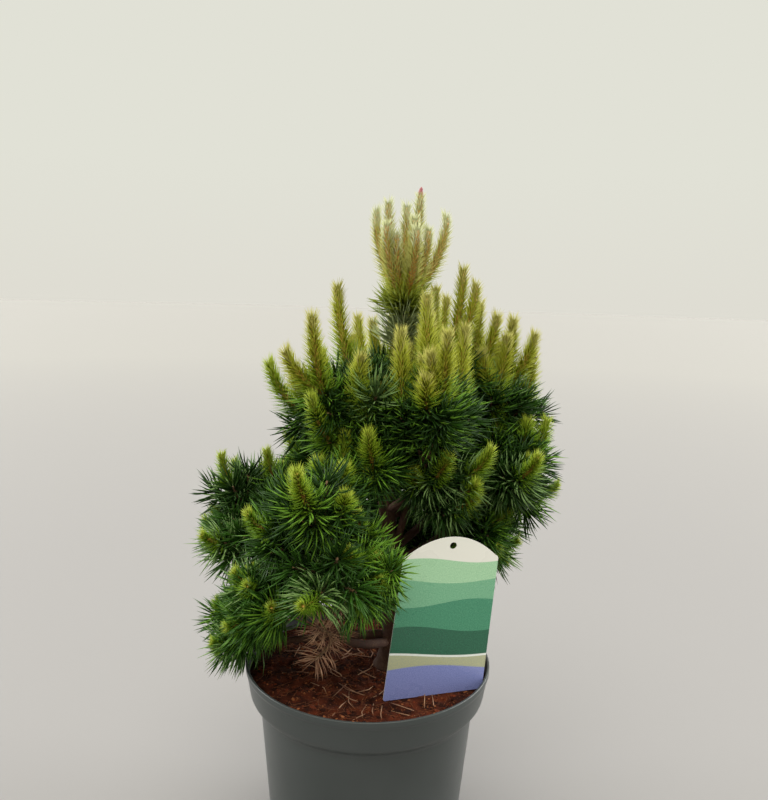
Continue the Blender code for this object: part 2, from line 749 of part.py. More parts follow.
def build():
    clear_scene()
    grey_plastic = material("grey_polypropylene", (0.060, 0.068, 0.066), 0.45)
    potting_soil = material("potting_soil", (0.055, 0.022, 0.012), 0.95)
    bark = material("grey_brown_bark", (0.075, 0.045, 0.028), 0.9)
    green_needles = material("green_needles", (0.045, 0.105, 0.020), 0.6)
    brown_needles = material("dead_needles", (0.20, 0.11, 0.06), 0.8)
    white_plastic = material("white_plastic", (0.75, 0.75, 0.74), 0.35)
    rows = [dict(zip(MASS_COLUMNS, values)) for values in MASSES]
    dead = dict(zip(MASS_COLUMNS, DEAD_MASS))
    space = Space()
    make_pot(grey_plastic)
    make_soil(potting_soil)
    make_limbs(rows + [dead], bark, space)
    make_label(white_plastic)
    make_masses(rows, green_needles, space)
    make_masses([dead], brown_needles, space)


build()
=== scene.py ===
"""A dwarf mountain pine in its grey nursery pot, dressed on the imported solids."""

import random
from math import ceil, cos, exp, hypot, pi, radians, sin, sqrt, tan

import bmesh
import bpy
import numpy as np
from mathutils import Matrix, Vector, noise


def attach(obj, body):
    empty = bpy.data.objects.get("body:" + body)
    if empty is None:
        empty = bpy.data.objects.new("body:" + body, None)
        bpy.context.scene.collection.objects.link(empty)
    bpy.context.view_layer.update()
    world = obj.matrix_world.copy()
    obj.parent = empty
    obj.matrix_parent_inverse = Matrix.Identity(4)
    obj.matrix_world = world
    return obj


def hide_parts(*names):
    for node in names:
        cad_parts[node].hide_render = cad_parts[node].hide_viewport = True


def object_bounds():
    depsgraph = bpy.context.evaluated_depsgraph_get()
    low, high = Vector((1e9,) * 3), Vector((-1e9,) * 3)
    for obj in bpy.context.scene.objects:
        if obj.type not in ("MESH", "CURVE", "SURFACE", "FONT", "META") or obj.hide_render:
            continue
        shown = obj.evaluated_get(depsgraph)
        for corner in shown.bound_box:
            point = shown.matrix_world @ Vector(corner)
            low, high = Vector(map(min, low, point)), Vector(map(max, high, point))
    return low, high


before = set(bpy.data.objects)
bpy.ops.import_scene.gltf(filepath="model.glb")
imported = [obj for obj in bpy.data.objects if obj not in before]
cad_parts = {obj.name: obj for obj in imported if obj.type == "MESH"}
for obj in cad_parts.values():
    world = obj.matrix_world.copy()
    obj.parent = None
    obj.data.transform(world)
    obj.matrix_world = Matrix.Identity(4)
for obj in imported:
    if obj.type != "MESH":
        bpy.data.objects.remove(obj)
cad_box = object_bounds()


# The view. The plant was photographed by hand from 75 cm away, at the height of its upper
# shoots, so the camera looks down by about 8 degrees and is rolled by less than two.
CAMERA_PLACE = (0.0096, -0.752, 0.598)
CAMERA_PITCH = 8.19
CAMERA_ROLL = 1.6
SENSOR_SIZE = 36
FOCAL_PIXELS = 740
PICTURE_LONG_SIDE = 800
NEAREST_SEEN = 0.01


def linked(name, data):
    """A new object that holds this data, put in the scene."""
    made = bpy.data.objects.new(name, data)
    bpy.context.scene.collection.objects.link(made)
    return made


def make_camera():
    lens = bpy.data.cameras.new("view")
    lens.sensor_width = SENSOR_SIZE
    lens.lens = SENSOR_SIZE * FOCAL_PIXELS / PICTURE_LONG_SIDE
    lens.clip_start = NEAREST_SEEN
    camera = linked("view", lens)
    pitch = Matrix.Rotation(radians(90 - CAMERA_PITCH), 4, "X")
    roll = Matrix.Rotation(radians(CAMERA_ROLL), 4, "Z")
    camera.matrix_world = Matrix.Translation(CAMERA_PLACE) @ pitch @ roll
    bpy.context.scene.camera = camera


make_camera()


# The room. A pale matt floor under an even, pale sky, lit as in a shop by a broad ceiling of
# lamps, with lower ones on each side, a little behind the plant, that brighten its edges.
FLOOR_RADIUS = 30.0
FLOOR_SIDES = 96
FLOOR_NEAR = 1.1
FLOOR_FAR = 6.0
HORIZON_BAND = 0.16
# Each lamp's name, azimuth, elevation, strength, spread and colour.
LAMPS = [("ceiling_lamps", 255, 66, 3.3, 60, "#fffdf6"), ("left_lamps", 160, 22, 3.5, 50, "#ffffff"),
         ("right_lamps", 20, 22, 4.0, 50, "#ffffff")]


def linear(colour):
    """The linear colour of an sRGB hex value such as #8899aa, with full alpha."""
    shares = [int(colour[k:k + 2], 16) / 255 for k in (1, 3, 5)]
    return (*[s / 12.92 if s <= 0.04045 else ((s + 0.055) / 1.055) ** 2.4 for s in shares], 1)


def add_node(tree, kind, inputs=None, **settings):
    """Adds one node. An input is a value, or another node's output to link."""
    node = tree.nodes.new(kind)
    for key, value in settings.items():
        setattr(node, key, value)
    for key, value in (inputs or {}).items():
        if isinstance(value, bpy.types.NodeSocket):
            tree.links.new(value, node.inputs[key])
        else:
            node.inputs[key].default_value = value
    return node


def graded(tree, value, low, high, first, second, most=1.0):
    """A colour that turns from the first to the second, or to most of it, as the value goes from
    low to high. A colour is a hex value or another node's output."""
    share = add_node(tree, "ShaderNodeMapRange",
                     {"Value": value, "From Min": low, "From Max": high, "To Max": most})
    ends = [linear(colour) if isinstance(colour, str) else colour for colour in (first, second)]
    mix = add_node(tree, "ShaderNodeMix", {0: share.outputs["Result"], 6: ends[0], 7: ends[1]},
                   data_type="RGBA")
    return mix.outputs[2]


def new_material(name, colour, roughness, specular=0.5):
    """A material and its Principled shader."""
    made = bpy.data.materials.new(name)
    made.use_nodes = True
    shader = made.node_tree.nodes["Principled BSDF"]
    shader.inputs["Base Color"].default_value = linear(colour)
    shader.inputs["Roughness"].default_value = roughness
    shader.inputs["Specular IOR Level"].default_value = specular
    return made, shader


def matt_floor_paint():
    """Pale warm grey floor paint with no gloss, growing a little paler from about a metre out to six,
    so that far off it nears the sky's tone at the horizon.
    """
    made, shader = new_material("matt_floor_paint", "#7d7b7a", 0.9)
    tree = made.node_tree
    place = add_node(tree, "ShaderNodeTexCoord")
    out = add_node(tree, "ShaderNodeVectorMath", {0: place.outputs["Object"]}, operation="LENGTH")
    tone = graded(tree, out.outputs["Value"], FLOOR_NEAR, FLOOR_FAR, "#7d7b7a", "#878581")
    tree.links.new(tone, shader.inputs["Base Color"])
    return made


def ring(radius, z, sides):
    """The points of a level ring round Z."""
    turns = [2 * pi * k / sides for k in range(sides)]
    return [(radius * cos(turn), radius * sin(turn), z) for turn in turns]


def mesh_of(name, points, faces, material=None):
    """A new object with these points and smooth faces."""
    mesh = bpy.data.meshes.new(name)
    mesh.from_pydata(points, [], faces)
    if material:
        mesh.materials.append(material)
    mesh.shade_smooth()
    return linked(name, mesh)


def make_floor():
    disc = [range(FLOOR_SIDES)]
    mesh_of("studio_floor", ring(FLOOR_RADIUS, 0, FLOOR_SIDES), disc, matt_floor_paint())


def toward(azimuth, elevation):
    """The direction at these angles, in degrees: azimuth 0 is along X, and 90 away from the viewer."""
    flat = cos(radians(elevation))
    turn = radians(azimuth)
    return Vector((cos(turn) * flat, sin(turn) * flat, sin(radians(elevation))))


def add_sun(name, azimuth, elevation, strength, spread, colour):
    """A lamp so far off that its light is even over the floor; its spread softens the shadows."""
    light = bpy.data.lights.new(name, "SUN")
    light.energy = strength
    light.angle = radians(spread)
    light.color = linear(colour)[:3]
    way = toward(azimuth, elevation)
    linked(name, light).rotation_euler = way.to_track_quat("Z", "Y").to_euler()


def light_room():
    for lamp in LAMPS:
        add_sun(*lamp)
    world = bpy.data.worlds.new("pale_sky")
    world.use_nodes = True
    tree = world.node_tree
    way = add_node(tree, "ShaderNodeTexCoord")
    parts = add_node(tree, "ShaderNodeSeparateXYZ", {"Vector": way.outputs["Generated"]})
    sky = graded(tree, parts.outputs["Z"], 0.0, HORIZON_BAND, "#dfddd3", "#e1e1d6")
    tree.links.new(sky, tree.nodes["Background"].inputs["Color"])
    bpy.context.scene.world = world
    bpy.context.scene.view_settings.view_transform = "Standard"


make_floor()
light_room()


# The pot. A round nursery pot of recycled grey polypropylene, injection moulded in one piece:
# a thin tapering wall, a wider collar below a rolled lip, and drain holes in its floor.
POT_FLOOR = 0.0025
POT_SIDES = 144
POT_OUTSIDE = [(0.0, 0.0), (0.0975, 0.0), (0.0995, 0.004), (0.1145, 0.170), (0.1245, 0.178),
               (0.1286, 0.2035), (0.1300, 0.2065), (0.1300, 0.2120)]
POT_INSIDE = [(0.1275, 0.2120), (0.1275, 0.2060), (0.1225, 0.180), (0.1125, 0.170),
              (0.0975, POT_FLOOR), (0.0, POT_FLOOR)]
POT_ROUNDING = [0, 0.0010, 0.0020, 0.0050, 0.0050, 0.0012, 0.0010, 0.0009,
                0.0009, 0.0010, 0.0040, 0.0040, 0.0020, 0]
ROUNDING_STEPS = 5
SHARP_ABOVE = 40
DRAIN_HOLES = 8
DRAIN_CIRCLE_RADIUS = 0.078
# The rings of one drain hole's drill: radius, height and sides.
DRILL = [(0, 2 * POT_FLOOR, 1), (0.006, 2 * POT_FLOOR, 28), (0.006, -POT_FLOOR, 28), (0, -POT_FLOOR, 1)]
MOULD_GRAIN = 0.00035
MOULD_GRAIN_DEPTH = 0.00004
MOULD_WAVES = 0.045


def lumpy(shader, size, detail=3.0, spread=(0.35, 0.65), tones=None, most=1.0, gloss=None, relief=None):
    """Gives the shader lumps of about this size, in metres, over the piece's own space: between
    two tones, between two values of roughness, and with a relief of this depth. Returns the tone."""
    tree = shader.id_data
    place = add_node(tree, "ShaderNodeTexCoord")
    lumps = add_node(tree, "ShaderNodeTexNoise",
                     {"Vector": place.outputs["Object"], "Scale": 0.5 / size, "Detail": detail})
    height = lumps.outputs["Fac"]
    tone = None
    if tones:
        tone = graded(tree, height, *spread, *tones, most)
        tree.links.new(tone, shader.inputs["Base Color"])
    if gloss:
        sheen = add_node(tree, "ShaderNodeMapRange", {"Value": height, "From Min": spread[0],
                                                      "From Max": spread[1], "To Min": gloss[0],
                                                      "To Max": gloss[1]})
        tree.links.new(sheen.outputs["Result"], shader.inputs["Roughness"])
    if relief:
        bump = add_node(tree, "ShaderNodeBump", {"Height": height, "Distance": relief})
        tree.links.new(bump.outputs["Normal"], shader.inputs["Normal"])
    return tone


def moulded_polypropylene():
    """Recycled grey polypropylene from a spark-eroded mould: a satin skin with a fine grain, and
    broad, faint differences in tone and gloss where the melt flowed."""
    made, shader = new_material("moulded_grey_polypropylene", "#313635", 0.45)
    lumpy(shader, MOULD_WAVES, spread=(0.3, 0.7), tones=("#2d3231", "#353a39"), gloss=(0.31, 0.42))
    lumpy(shader, MOULD_GRAIN, relief=MOULD_GRAIN_DEPTH)
    return made


def rounding(corner, back, on):
    """The points that round a corner, from its end at back to its end at on."""
    parts = [k / ROUNDING_STEPS for k in range(ROUNDING_STEPS + 1)]
    return [corner + back * (1 - part) ** 2 + on * part ** 2 for part in parts]


def rounded(corners, radii):
    """The corners of an outline with each one rounded by its radius."""
    outline = [Vector(corners[0])]
    for before, corner, after, radius in zip(corners, corners[1:], corners[2:], radii[1:]):
        corner = Vector(corner)
        back = (Vector(before) - corner).normalized() * radius
        on = (Vector(after) - corner).normalized() * radius
        outline += rounding(corner, back, on)
    return outline + [Vector(corners[-1])]


def skin_over(rings):
    """Points and faces of a closed skin over rings of points; the first and the last are a single
    point each. It faces up where the rings grow wider."""
    sides = len(rings[1])
    points = [point for each in rings for point in each]
    last = 1 + (len(rings) - 3) * sides
    faces = []
    for k in range(sides):
        after = (k + 1) % sides
        faces.append((0, 1 + k, 1 + after))
        for low in range(1, last, sides):
            high = low + sides
            faces.append((low + k, high + k, high + after, low + after))
        faces.append((last + k, len(points) - 1, last + after))
    return points, faces


def piece_of(name, points, faces, material, slot, *nodes):
    """A smooth mesh piece that rides on the plant's one body, and stands for these nodes."""
    made = mesh_of(name, points, faces, material)
    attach(made, "root")
    if nodes:
        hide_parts(*nodes)
    return made


def final_mesh(made):
    """The object's mesh with its modifiers or curves worked out."""
    bpy.context.view_layer.update()
    seen = made.evaluated_get(bpy.context.evaluated_depsgraph_get())
    return bpy.data.meshes.new_from_object(seen)


def make_pot():
    outline = reversed(rounded(POT_OUTSIDE + POT_INSIDE, POT_ROUNDING))
    rings = [ring(radius, z, POT_SIDES if radius else 1) for radius, z in outline]
    pot = piece_of("grey_pot", *skin_over(rings), moulded_polypropylene(), "pot", "pot")
    for k in range(DRAIN_HOLES):
        drill = mesh_of("drill", *skin_over([ring(radius, z, sides) for radius, z, sides in DRILL]))
        drill.location = toward(360 * k / DRAIN_HOLES, 0) * DRAIN_CIRCLE_RADIUS
        cut = pot.modifiers.new("drain", "BOOLEAN")
        cut.operation = "DIFFERENCE"
        cut.object = drill
        drilled = final_mesh(pot)
        pot.modifiers.clear()
        pot.data = drilled
        bpy.data.objects.remove(drill)
    pot.data.shade_smooth()
    pot.data.set_sharp_from_angle(angle=radians(SHARP_ABOVE))


make_pot()


# The soil. Reddish-brown peat and coir with bits of bark, filled to 12 mm below the rim: a
# lumpy surface, loose crumbs on it in three tones, pale fibres, and needles that have fallen.
SOIL_Z = 0.200
SOIL_EDGE_Z = 0.197
SOIL_UNDERSIDE_Z = 0.188
SOIL_FLAT_RADIUS = 0.110
SOIL_RADIUS = 0.1256
SOIL_UNDERSIDE_SHARE = 0.99
SOIL_RINGS = 96
SOIL_SIDES = 230
CLOD_SIZE = 0.014
CLOD_HEIGHT = 0.0046
CLOD_ROUGHNESS = (0.9, 2.1, 3)
CRUMB_SIZE = 0.0035
CRUMB_HEIGHT = 0.0021
CRUMB_ROUGHNESS = (0.8, 2.2, 3)
HEAP_HEIGHT = 0.002
HEAP_RADIUS = 0.03
TRUNK_FOOT_X = 0.021
CRUMBS = {"dark": ("#260e06", 620), "red": ("#5f2a15", 620), "pale": ("#86502f", 260)}
CRUMB_LENGTHS = (0.0012, 0.0040)
CRUMB_WIDTHS = (0.4, 0.8)
CRUMB_THICKNESSES = (0.5, 0.8)
CRUMB_TILT = 0.5
CRUMB_BULGE = 0.55
CRUMB_MARGIN = 0.006
CHIP_SHARE = 0.10
CHIP_LENGTHS = (0.005, 0.009)
CHIP_THICKNESS = 0.22
FIBRES = 420
FIBRE_LENGTHS = (0.006, 0.022)
FIBRE_WIDTH = 0.00044
FALLEN_NEEDLES = 64
FALLEN_LENGTHS = (0.022, 0.034)
FALLEN_WIDTH = 0.0012
LITTER_MARGIN = 0.003
LITTER_LIFT = 0.0004
LITTER_RISE = 0.002
LITTER_BEND = 0.15
LITTER_ABOVE_LUMPS = 0.0006
NEEDLE_SHOULDER = 0.62
NEEDLE_ROOT_SHARE = 0.8
ANY_TURN = 6.28


def moist_peat():
    """Peat and coir: matt and dark where it is wet, redder and lighter on the dry lumps."""
    made, shader = new_material("moist_peat", "#4a2416", 0.95, 0.12)
    ground = lumpy(shader, 0.006, 6.0, (0.38, 0.66), ("#220b04", "#4e210f"))
    lumpy(shader, 0.0012, 4.0, (0.60, 0.72), (ground, "#7c4a2c"), 0.8, relief=0.0012)
    return made


def crumb_of_peat(name, colour):
    """One tone of crumb or fibre, a little mottled within itself, with no gloss."""
    made, shader = new_material(name, colour, 0.95, 0.12)
    lumpy(shader, 0.0009, 4.0, tones=(colour, "#1c0c06"), most=0.45, relief=0.0004)
    return made


def dry_needle():
    """A dead pine needle: dull straw brown, paler along some of its length."""
    made, shader = new_material("dry_needle", "#946a4e", 0.75)
    lumpy(shader, 0.010, 2.0, tones=("#7a5038", "#a88262"))
    return made


def soil_height(x, y):
    """The lumpy surface at a place: level, lower along the wall, and heaped at the trunk."""
    drop = max(0.0, (hypot(x, y) - SOIL_FLAT_RADIUS) / (SOIL_RADIUS - SOIL_FLAT_RADIUS))
    level = SOIL_Z - (SOIL_Z - SOIL_EDGE_Z) * min(1.0, drop)
    clods = noise.fractal(Vector((x, y, 0)) / CLOD_SIZE, *CLOD_ROUGHNESS)
    crumbs = noise.fractal(Vector((x, y, 5.0 * CRUMB_SIZE)) / CRUMB_SIZE, *CRUMB_ROUGHNESS)
    heap = HEAP_HEIGHT * exp(-(hypot(x - TRUNK_FOOT_X, y) / HEAP_RADIUS) ** 2)
    return level + heap + CLOD_HEIGHT * 0.5 * clods + CRUMB_HEIGHT * 0.5 * crumbs


def make_soil_surface():
    rings = [ring(SOIL_RADIUS * j / SOIL_RINGS, 0, SOIL_SIDES if j else 1) for j in range(SOIL_RINGS + 1)]
    rings = [[(x, y, soil_height(x, y)) for x, y, _ in level] for level in rings]
    rings.append(ring(SOIL_RADIUS * SOIL_UNDERSIDE_SHARE, SOIL_UNDERSIDE_Z, SOIL_SIDES))
    rings.append([(0, 0, SOIL_UNDERSIDE_Z)])
    piece_of("soil_surface", *skin_over(rings), moist_peat(), "soil", "soil")


def place_on_soil(rng, margin):
    """A chance place on the soil, away from its edge by the margin."""
    out = (SOIL_RADIUS - margin) * sqrt(rng.random())
    turn = rng.uniform(0, 2 * pi)
    x = out * cos(turn)
    y = out * sin(turn)
    return Vector((x, y, soil_height(x, y)))


def joined(points, faces):
    """Points and faces of many like things: rows of points, and the triangles of one."""
    starts = np.arange(len(points)) * points.shape[1]
    return points.reshape(-1, 3).tolist(), (starts[:, None, None] + faces).reshape(-1, 3).tolist()


def make_crumbs(tone, colour, count):
    """Crumbs and flat bark chips of one tone: lopsided lumps that sit half in the surface."""
    rng = random.Random("crumbs " + tone)
    bm = bmesh.new()
    bmesh.ops.create_icosphere(bm, subdivisions=1, radius=0.5)
    ball = [vertex.co.copy() for vertex in bm.verts]
    faces = [[vertex.index for vertex in face.verts] for face in bm.faces]
    bm.free()
    points = []
    for k in range(count):
        chip = rng.random() < CHIP_SHARE
        length = rng.uniform(*(CHIP_LENGTHS if chip else CRUMB_LENGTHS))
        width = rng.uniform(*CRUMB_WIDTHS)
        thickness = CHIP_THICKNESS if chip else rng.uniform(*CRUMB_THICKNESSES)
        spin = Matrix.Rotation(rng.uniform(0, ANY_TURN), 3, "Z")
        tilt = Matrix.Rotation(rng.uniform(-CRUMB_TILT, CRUMB_TILT), 3, "X")
        place = place_on_soil(rng, CRUMB_MARGIN)
        shift = Vector((k * 3.7, k * 1.3, 0))
        for corner in ball:
            bulge = 1 + CRUMB_BULGE * noise.noise(corner * 2.4 + shift)
            shape = Vector((corner.x, corner.y * width, corner.z * thickness)) * length * bulge
            points.append(place + spin @ tilt @ shape)
    lumps = joined(np.array(points).reshape(count, len(ball), 3), faces)
    crumbs = piece_of("soil_crumbs_" + tone, *lumps, crumb_of_peat("peat_crumb_" + tone, colour), "soil")
    crumbs.data.shade_flat()


def three_corners(ways, widths):
    """How far the three corners of each needle's section lie from its middle."""
    along = ways / np.linalg.norm(ways, axis=1)[:, None]
    aside = np.cross(along, np.roll(along, 1, axis=1) + 0.3)
    aside /= np.linalg.norm(aside, axis=1)[:, None]
    beside = np.cross(along, aside)
    turns = [2 * pi * k / 3 for k in range(3)]
    return [(aside * cos(turn) + beside * sin(turn)) * widths[:, None] / 2 for turn in turns]


def needles_of(roots, tips, widths, bends=None):
    """Points and faces of many needles with closed roots. Each is a three-sided spike, or with a
    bend a three-sided blade that is bent at its shoulder and tapers to a point beyond it."""
    corners = three_corners(tips - roots, widths)
    if bends is None:
        points = np.stack([*[roots + out for out in corners], tips], axis=1)
        return joined(points, [(0, 2, 1), (0, 1, 3), (1, 2, 3), (2, 0, 3)])
    shoulders = roots + (tips - roots) * NEEDLE_SHOULDER + bends
    points = [roots + out * NEEDLE_ROOT_SHARE for out in corners] + [shoulders + out for out in corners]
    one = [(0, 2, 1), (3, 4, 6), (4, 5, 6), (5, 3, 6)]
    for k in range(3):
        after = (k + 1) % 3
        one += [(k, after, 3 + after), (k, 3 + after, 3 + k)]
    return joined(np.stack([*points, tips], axis=1), one)


def make_litter(name, count, lengths, width, material):
    """Fibres or fallen needles that lie on the soil, slightly bent."""
    rng = random.Random(name)
    litter = []
    for _ in range(count):
        start = place_on_soil(rng, lengths[1] * 0.6)
        turn = rng.uniform(0, 2 * pi)
        length = rng.uniform(*lengths)
        x = start.x + length * cos(turn)
        y = start.y + length * sin(turn)
        if hypot(x, y) > SOIL_RADIUS - LITTER_MARGIN:
            continue
        end = Vector((x, y, soil_height(x, y) + rng.uniform(0, LITTER_RISE)))
        middle = soil_height((x + start.x) / 2, (y + start.y) / 2)
        start.z += LITTER_LIFT
        lift = max(0.0, middle + LITTER_ABOVE_LUMPS - (start.z + end.z) / 2)
        bend = rng.uniform(-LITTER_BEND, LITTER_BEND) * length
        litter.append((start, end, width, (-sin(turn) * bend, cos(turn) * bend, lift)))
    piece_of(name, *needles_of(*[np.array(column) for column in zip(*litter)]), material, "soil")


make_soil_surface()
for crumb_tone, (crumb_colour, crumb_count) in CRUMBS.items():
    make_crumbs(crumb_tone, crumb_colour, crumb_count)
make_litter("soil_fibres", FIBRES, FIBRE_LENGTHS, FIBRE_WIDTH, crumb_of_peat("coir_fibre", "#7c4c30"))
make_litter("fallen_needles", FALLEN_NEEDLES, FALLEN_LENGTHS, FALLEN_WIDTH, dry_needle())


# The plant label. A card of white polystyrene sheet, 0.9 mm thick, die cut with an arched top
# and a hanging hole, printed on its front, and pushed into the soil against the pot's wall.
LABEL_WIDTH = 0.1055
LABEL_SHOULDER = 0.152
LABEL_TOP = 0.1727
LABEL_TAPER = 0.935
LABEL_THICKNESS = 0.0009
LABEL_HOLE_RADIUS = 0.0035
LABEL_HOLE_SIDES = 30
LABEL_HOLE_BELOW_TOP = 0.009
LABEL_CORNER = (0.0165, -0.0730)
LABEL_YAW = 16.5
LABEL_LEAN = -5.0
LABEL_TILT = -3.3
LABEL_FOOT_Z = 0.2003
LABEL_ARCH_POINTS = 25
LABEL_ARCH_RISE = 0.35
LABEL_CORNER_RADIUS = 0.003
# Each band's height on the card, swing, waves and their shift, and its two tones.
LABEL_BANDS = [(0.86, 0.016, 9.0, 0.4, "#a9cda8", "#8dba92"), (0.74, 0.02, 7.0, 2.3, "#7fb08c", "#5c9a78"),
               (0.60, 0.022, 8.0, 4.0, "#4f9070", "#2f7457"), (0.44, 0.024, 7.5, 0.9, "#2c6a4e", "#1b4a38"),
               (0.285, 0.02, 5.5, 2.0, "#d8dcd6", "#e4e6e2"), (0.272, 0.02, 5.5, 2.0, "#b5b48a", "#9aa08c"),
               (0.19, 0.022, 6.0, 0.2, "#8b93c6", "#6f77b0")]
BAND_EDGE = 0.002
PRINT_MOTTLING = 140.0
SHEET_WAVES = 0.02


def white_polystyrene():
    """White sheet plastic: smooth, with a soft sheen."""
    made, shader = new_material("white_polystyrene", "#dedcd3", 0.35)
    lumpy(shader, SHEET_WAVES, spread=(0.3, 0.7), gloss=(0.30, 0.42))
    return made


def printed_polystyrene():
    """The printed front: plain rolling bands in greens and violet under a thin clear varnish."""
    made, shader = new_material("printed_polystyrene", "#dedcd3", 0.30)
    tree = made.node_tree
    place = add_node(tree, "ShaderNodeUVMap", uv_map="print").outputs["UV"]
    parts = add_node(tree, "ShaderNodeSeparateXYZ", {"Vector": place})
    mottle = add_node(tree, "ShaderNodeTexNoise", {"Vector": place, "Scale": PRINT_MOTTLING, "Detail": 2.0})
    colour = "#dedcd3"
    for height, swing, waves, shift, light, dark in LABEL_BANDS:
        gap = parts.outputs["X"]
        for operation, others in (("MULTIPLY_ADD", {1: waves, 2: shift}), ("SINE", {}),
                                  ("MULTIPLY_ADD", {1: swing, 2: height}),
                                  ("SUBTRACT", {1: parts.outputs["Y"]})):
            gap = add_node(tree, "ShaderNodeMath", {0: gap, **others}, operation=operation).outputs[0]
        tint = graded(tree, mottle.outputs["Fac"], 0.3, 0.7, light, dark)
        colour = graded(tree, gap, -BAND_EDGE, BAND_EDGE, colour, tint)
    tree.links.new(colour, shader.inputs["Base Color"])
    lumpy(shader, SHEET_WAVES, spread=(0.3, 0.7), gloss=(0.24, 0.36))
    return made


def label_frame():
    """The card's place: its lower left corner, along its foot and up its face."""
    turn = Matrix.Rotation(radians(LABEL_YAW), 4, "Z")
    lean = Matrix.Rotation(radians(90 - LABEL_LEAN), 4, "X")
    tilt = Matrix.Rotation(radians(LABEL_TILT), 4, "Z")
    return Matrix.Translation((*LABEL_CORNER, LABEL_FOOT_Z + LABEL_THICKNESS / 2)) @ turn @ lean @ tilt


def label_outline():
    """The card's outline, anticlockwise from the lower left, with its four corners rounded."""
    left = LABEL_WIDTH * (1 - LABEL_TAPER) / 2
    right = LABEL_WIDTH - left
    foot_rise = -LABEL_WIDTH * tan(radians(LABEL_TILT))
    corners = [(0, 0), (LABEL_WIDTH, foot_rise), (right, LABEL_SHOULDER), (left, LABEL_SHOULDER)]
    arch = Vector((0, LABEL_ARCH_RISE))
    outline = []
    for k, corner in enumerate(corners):
        corner = Vector(corner)
        back = (Vector(corners[k - 1]) - corner).normalized()
        on = (Vector(corners[(k + 1) % 4]) - corner).normalized()
        if k == 2:
            on += arch
        if k == 3:
            back += arch
        outline += rounding(corner, back * LABEL_CORNER_RADIUS, on * LABEL_CORNER_RADIUS)
        if k == 2:
            first = right - LABEL_CORNER_RADIUS
            span = first - left - LABEL_CORNER_RADIUS
            base = outline[-1].y
            for j in range(1, LABEL_ARCH_POINTS - 1):
                part = j / (LABEL_ARCH_POINTS - 1)
                rise = 1 - (2 * part - 1) ** 2
                outline.append(Vector((first - span * part, base + (LABEL_TOP - base) * rise)))
    return outline


def make_label():
    card = bpy.data.curves.new("plant_label_card", "CURVE")
    card.dimensions = "2D"
    card.fill_mode = "BOTH"
    card.extrude = LABEL_THICKNESS / 2
    centre = Vector((LABEL_WIDTH / 2, LABEL_TOP - LABEL_HOLE_BELOW_TOP))
    hole = [centre + Vector((x, y)) for x, y, _ in ring(LABEL_HOLE_RADIUS, 0, LABEL_HOLE_SIDES)]
    for loop in (label_outline(), hole):
        spline = card.splines.new("POLY")
        spline.points.add(len(loop) - 1)
        spline.use_cyclic_u = True
        for point, place in zip(spline.points, loop):
            point.co = (place.x, place.y, 0, 1)
    guide = linked("guide", card)
    mesh = final_mesh(guide)
    bpy.data.objects.remove(guide)
    bm = bmesh.new()
    bm.from_mesh(mesh)
    bmesh.ops.remove_doubles(bm, verts=bm.verts, dist=1e-6)
    bm.to_mesh(mesh)
    bm.free()
    mesh.name = "plant_label_card"
    mesh.materials.clear()
    mesh.materials.append(white_polystyrene())
    mesh.materials.append(printed_polystyrene())
    layer = mesh.uv_layers.new(name="print")
    for face in mesh.polygons:
        face.material_index = 1 if face.normal.z > 0.5 else 0
        for loop in face.loop_indices:
            place = mesh.vertices[mesh.loops[loop].vertex_index].co
            layer.data[loop].uv = (place.x / LABEL_TOP, place.y / LABEL_TOP)
    made = linked("plant_label_card", mesh)
    made.matrix_world = label_frame()
    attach(made, "root")
    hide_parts("plant_label")


make_label()
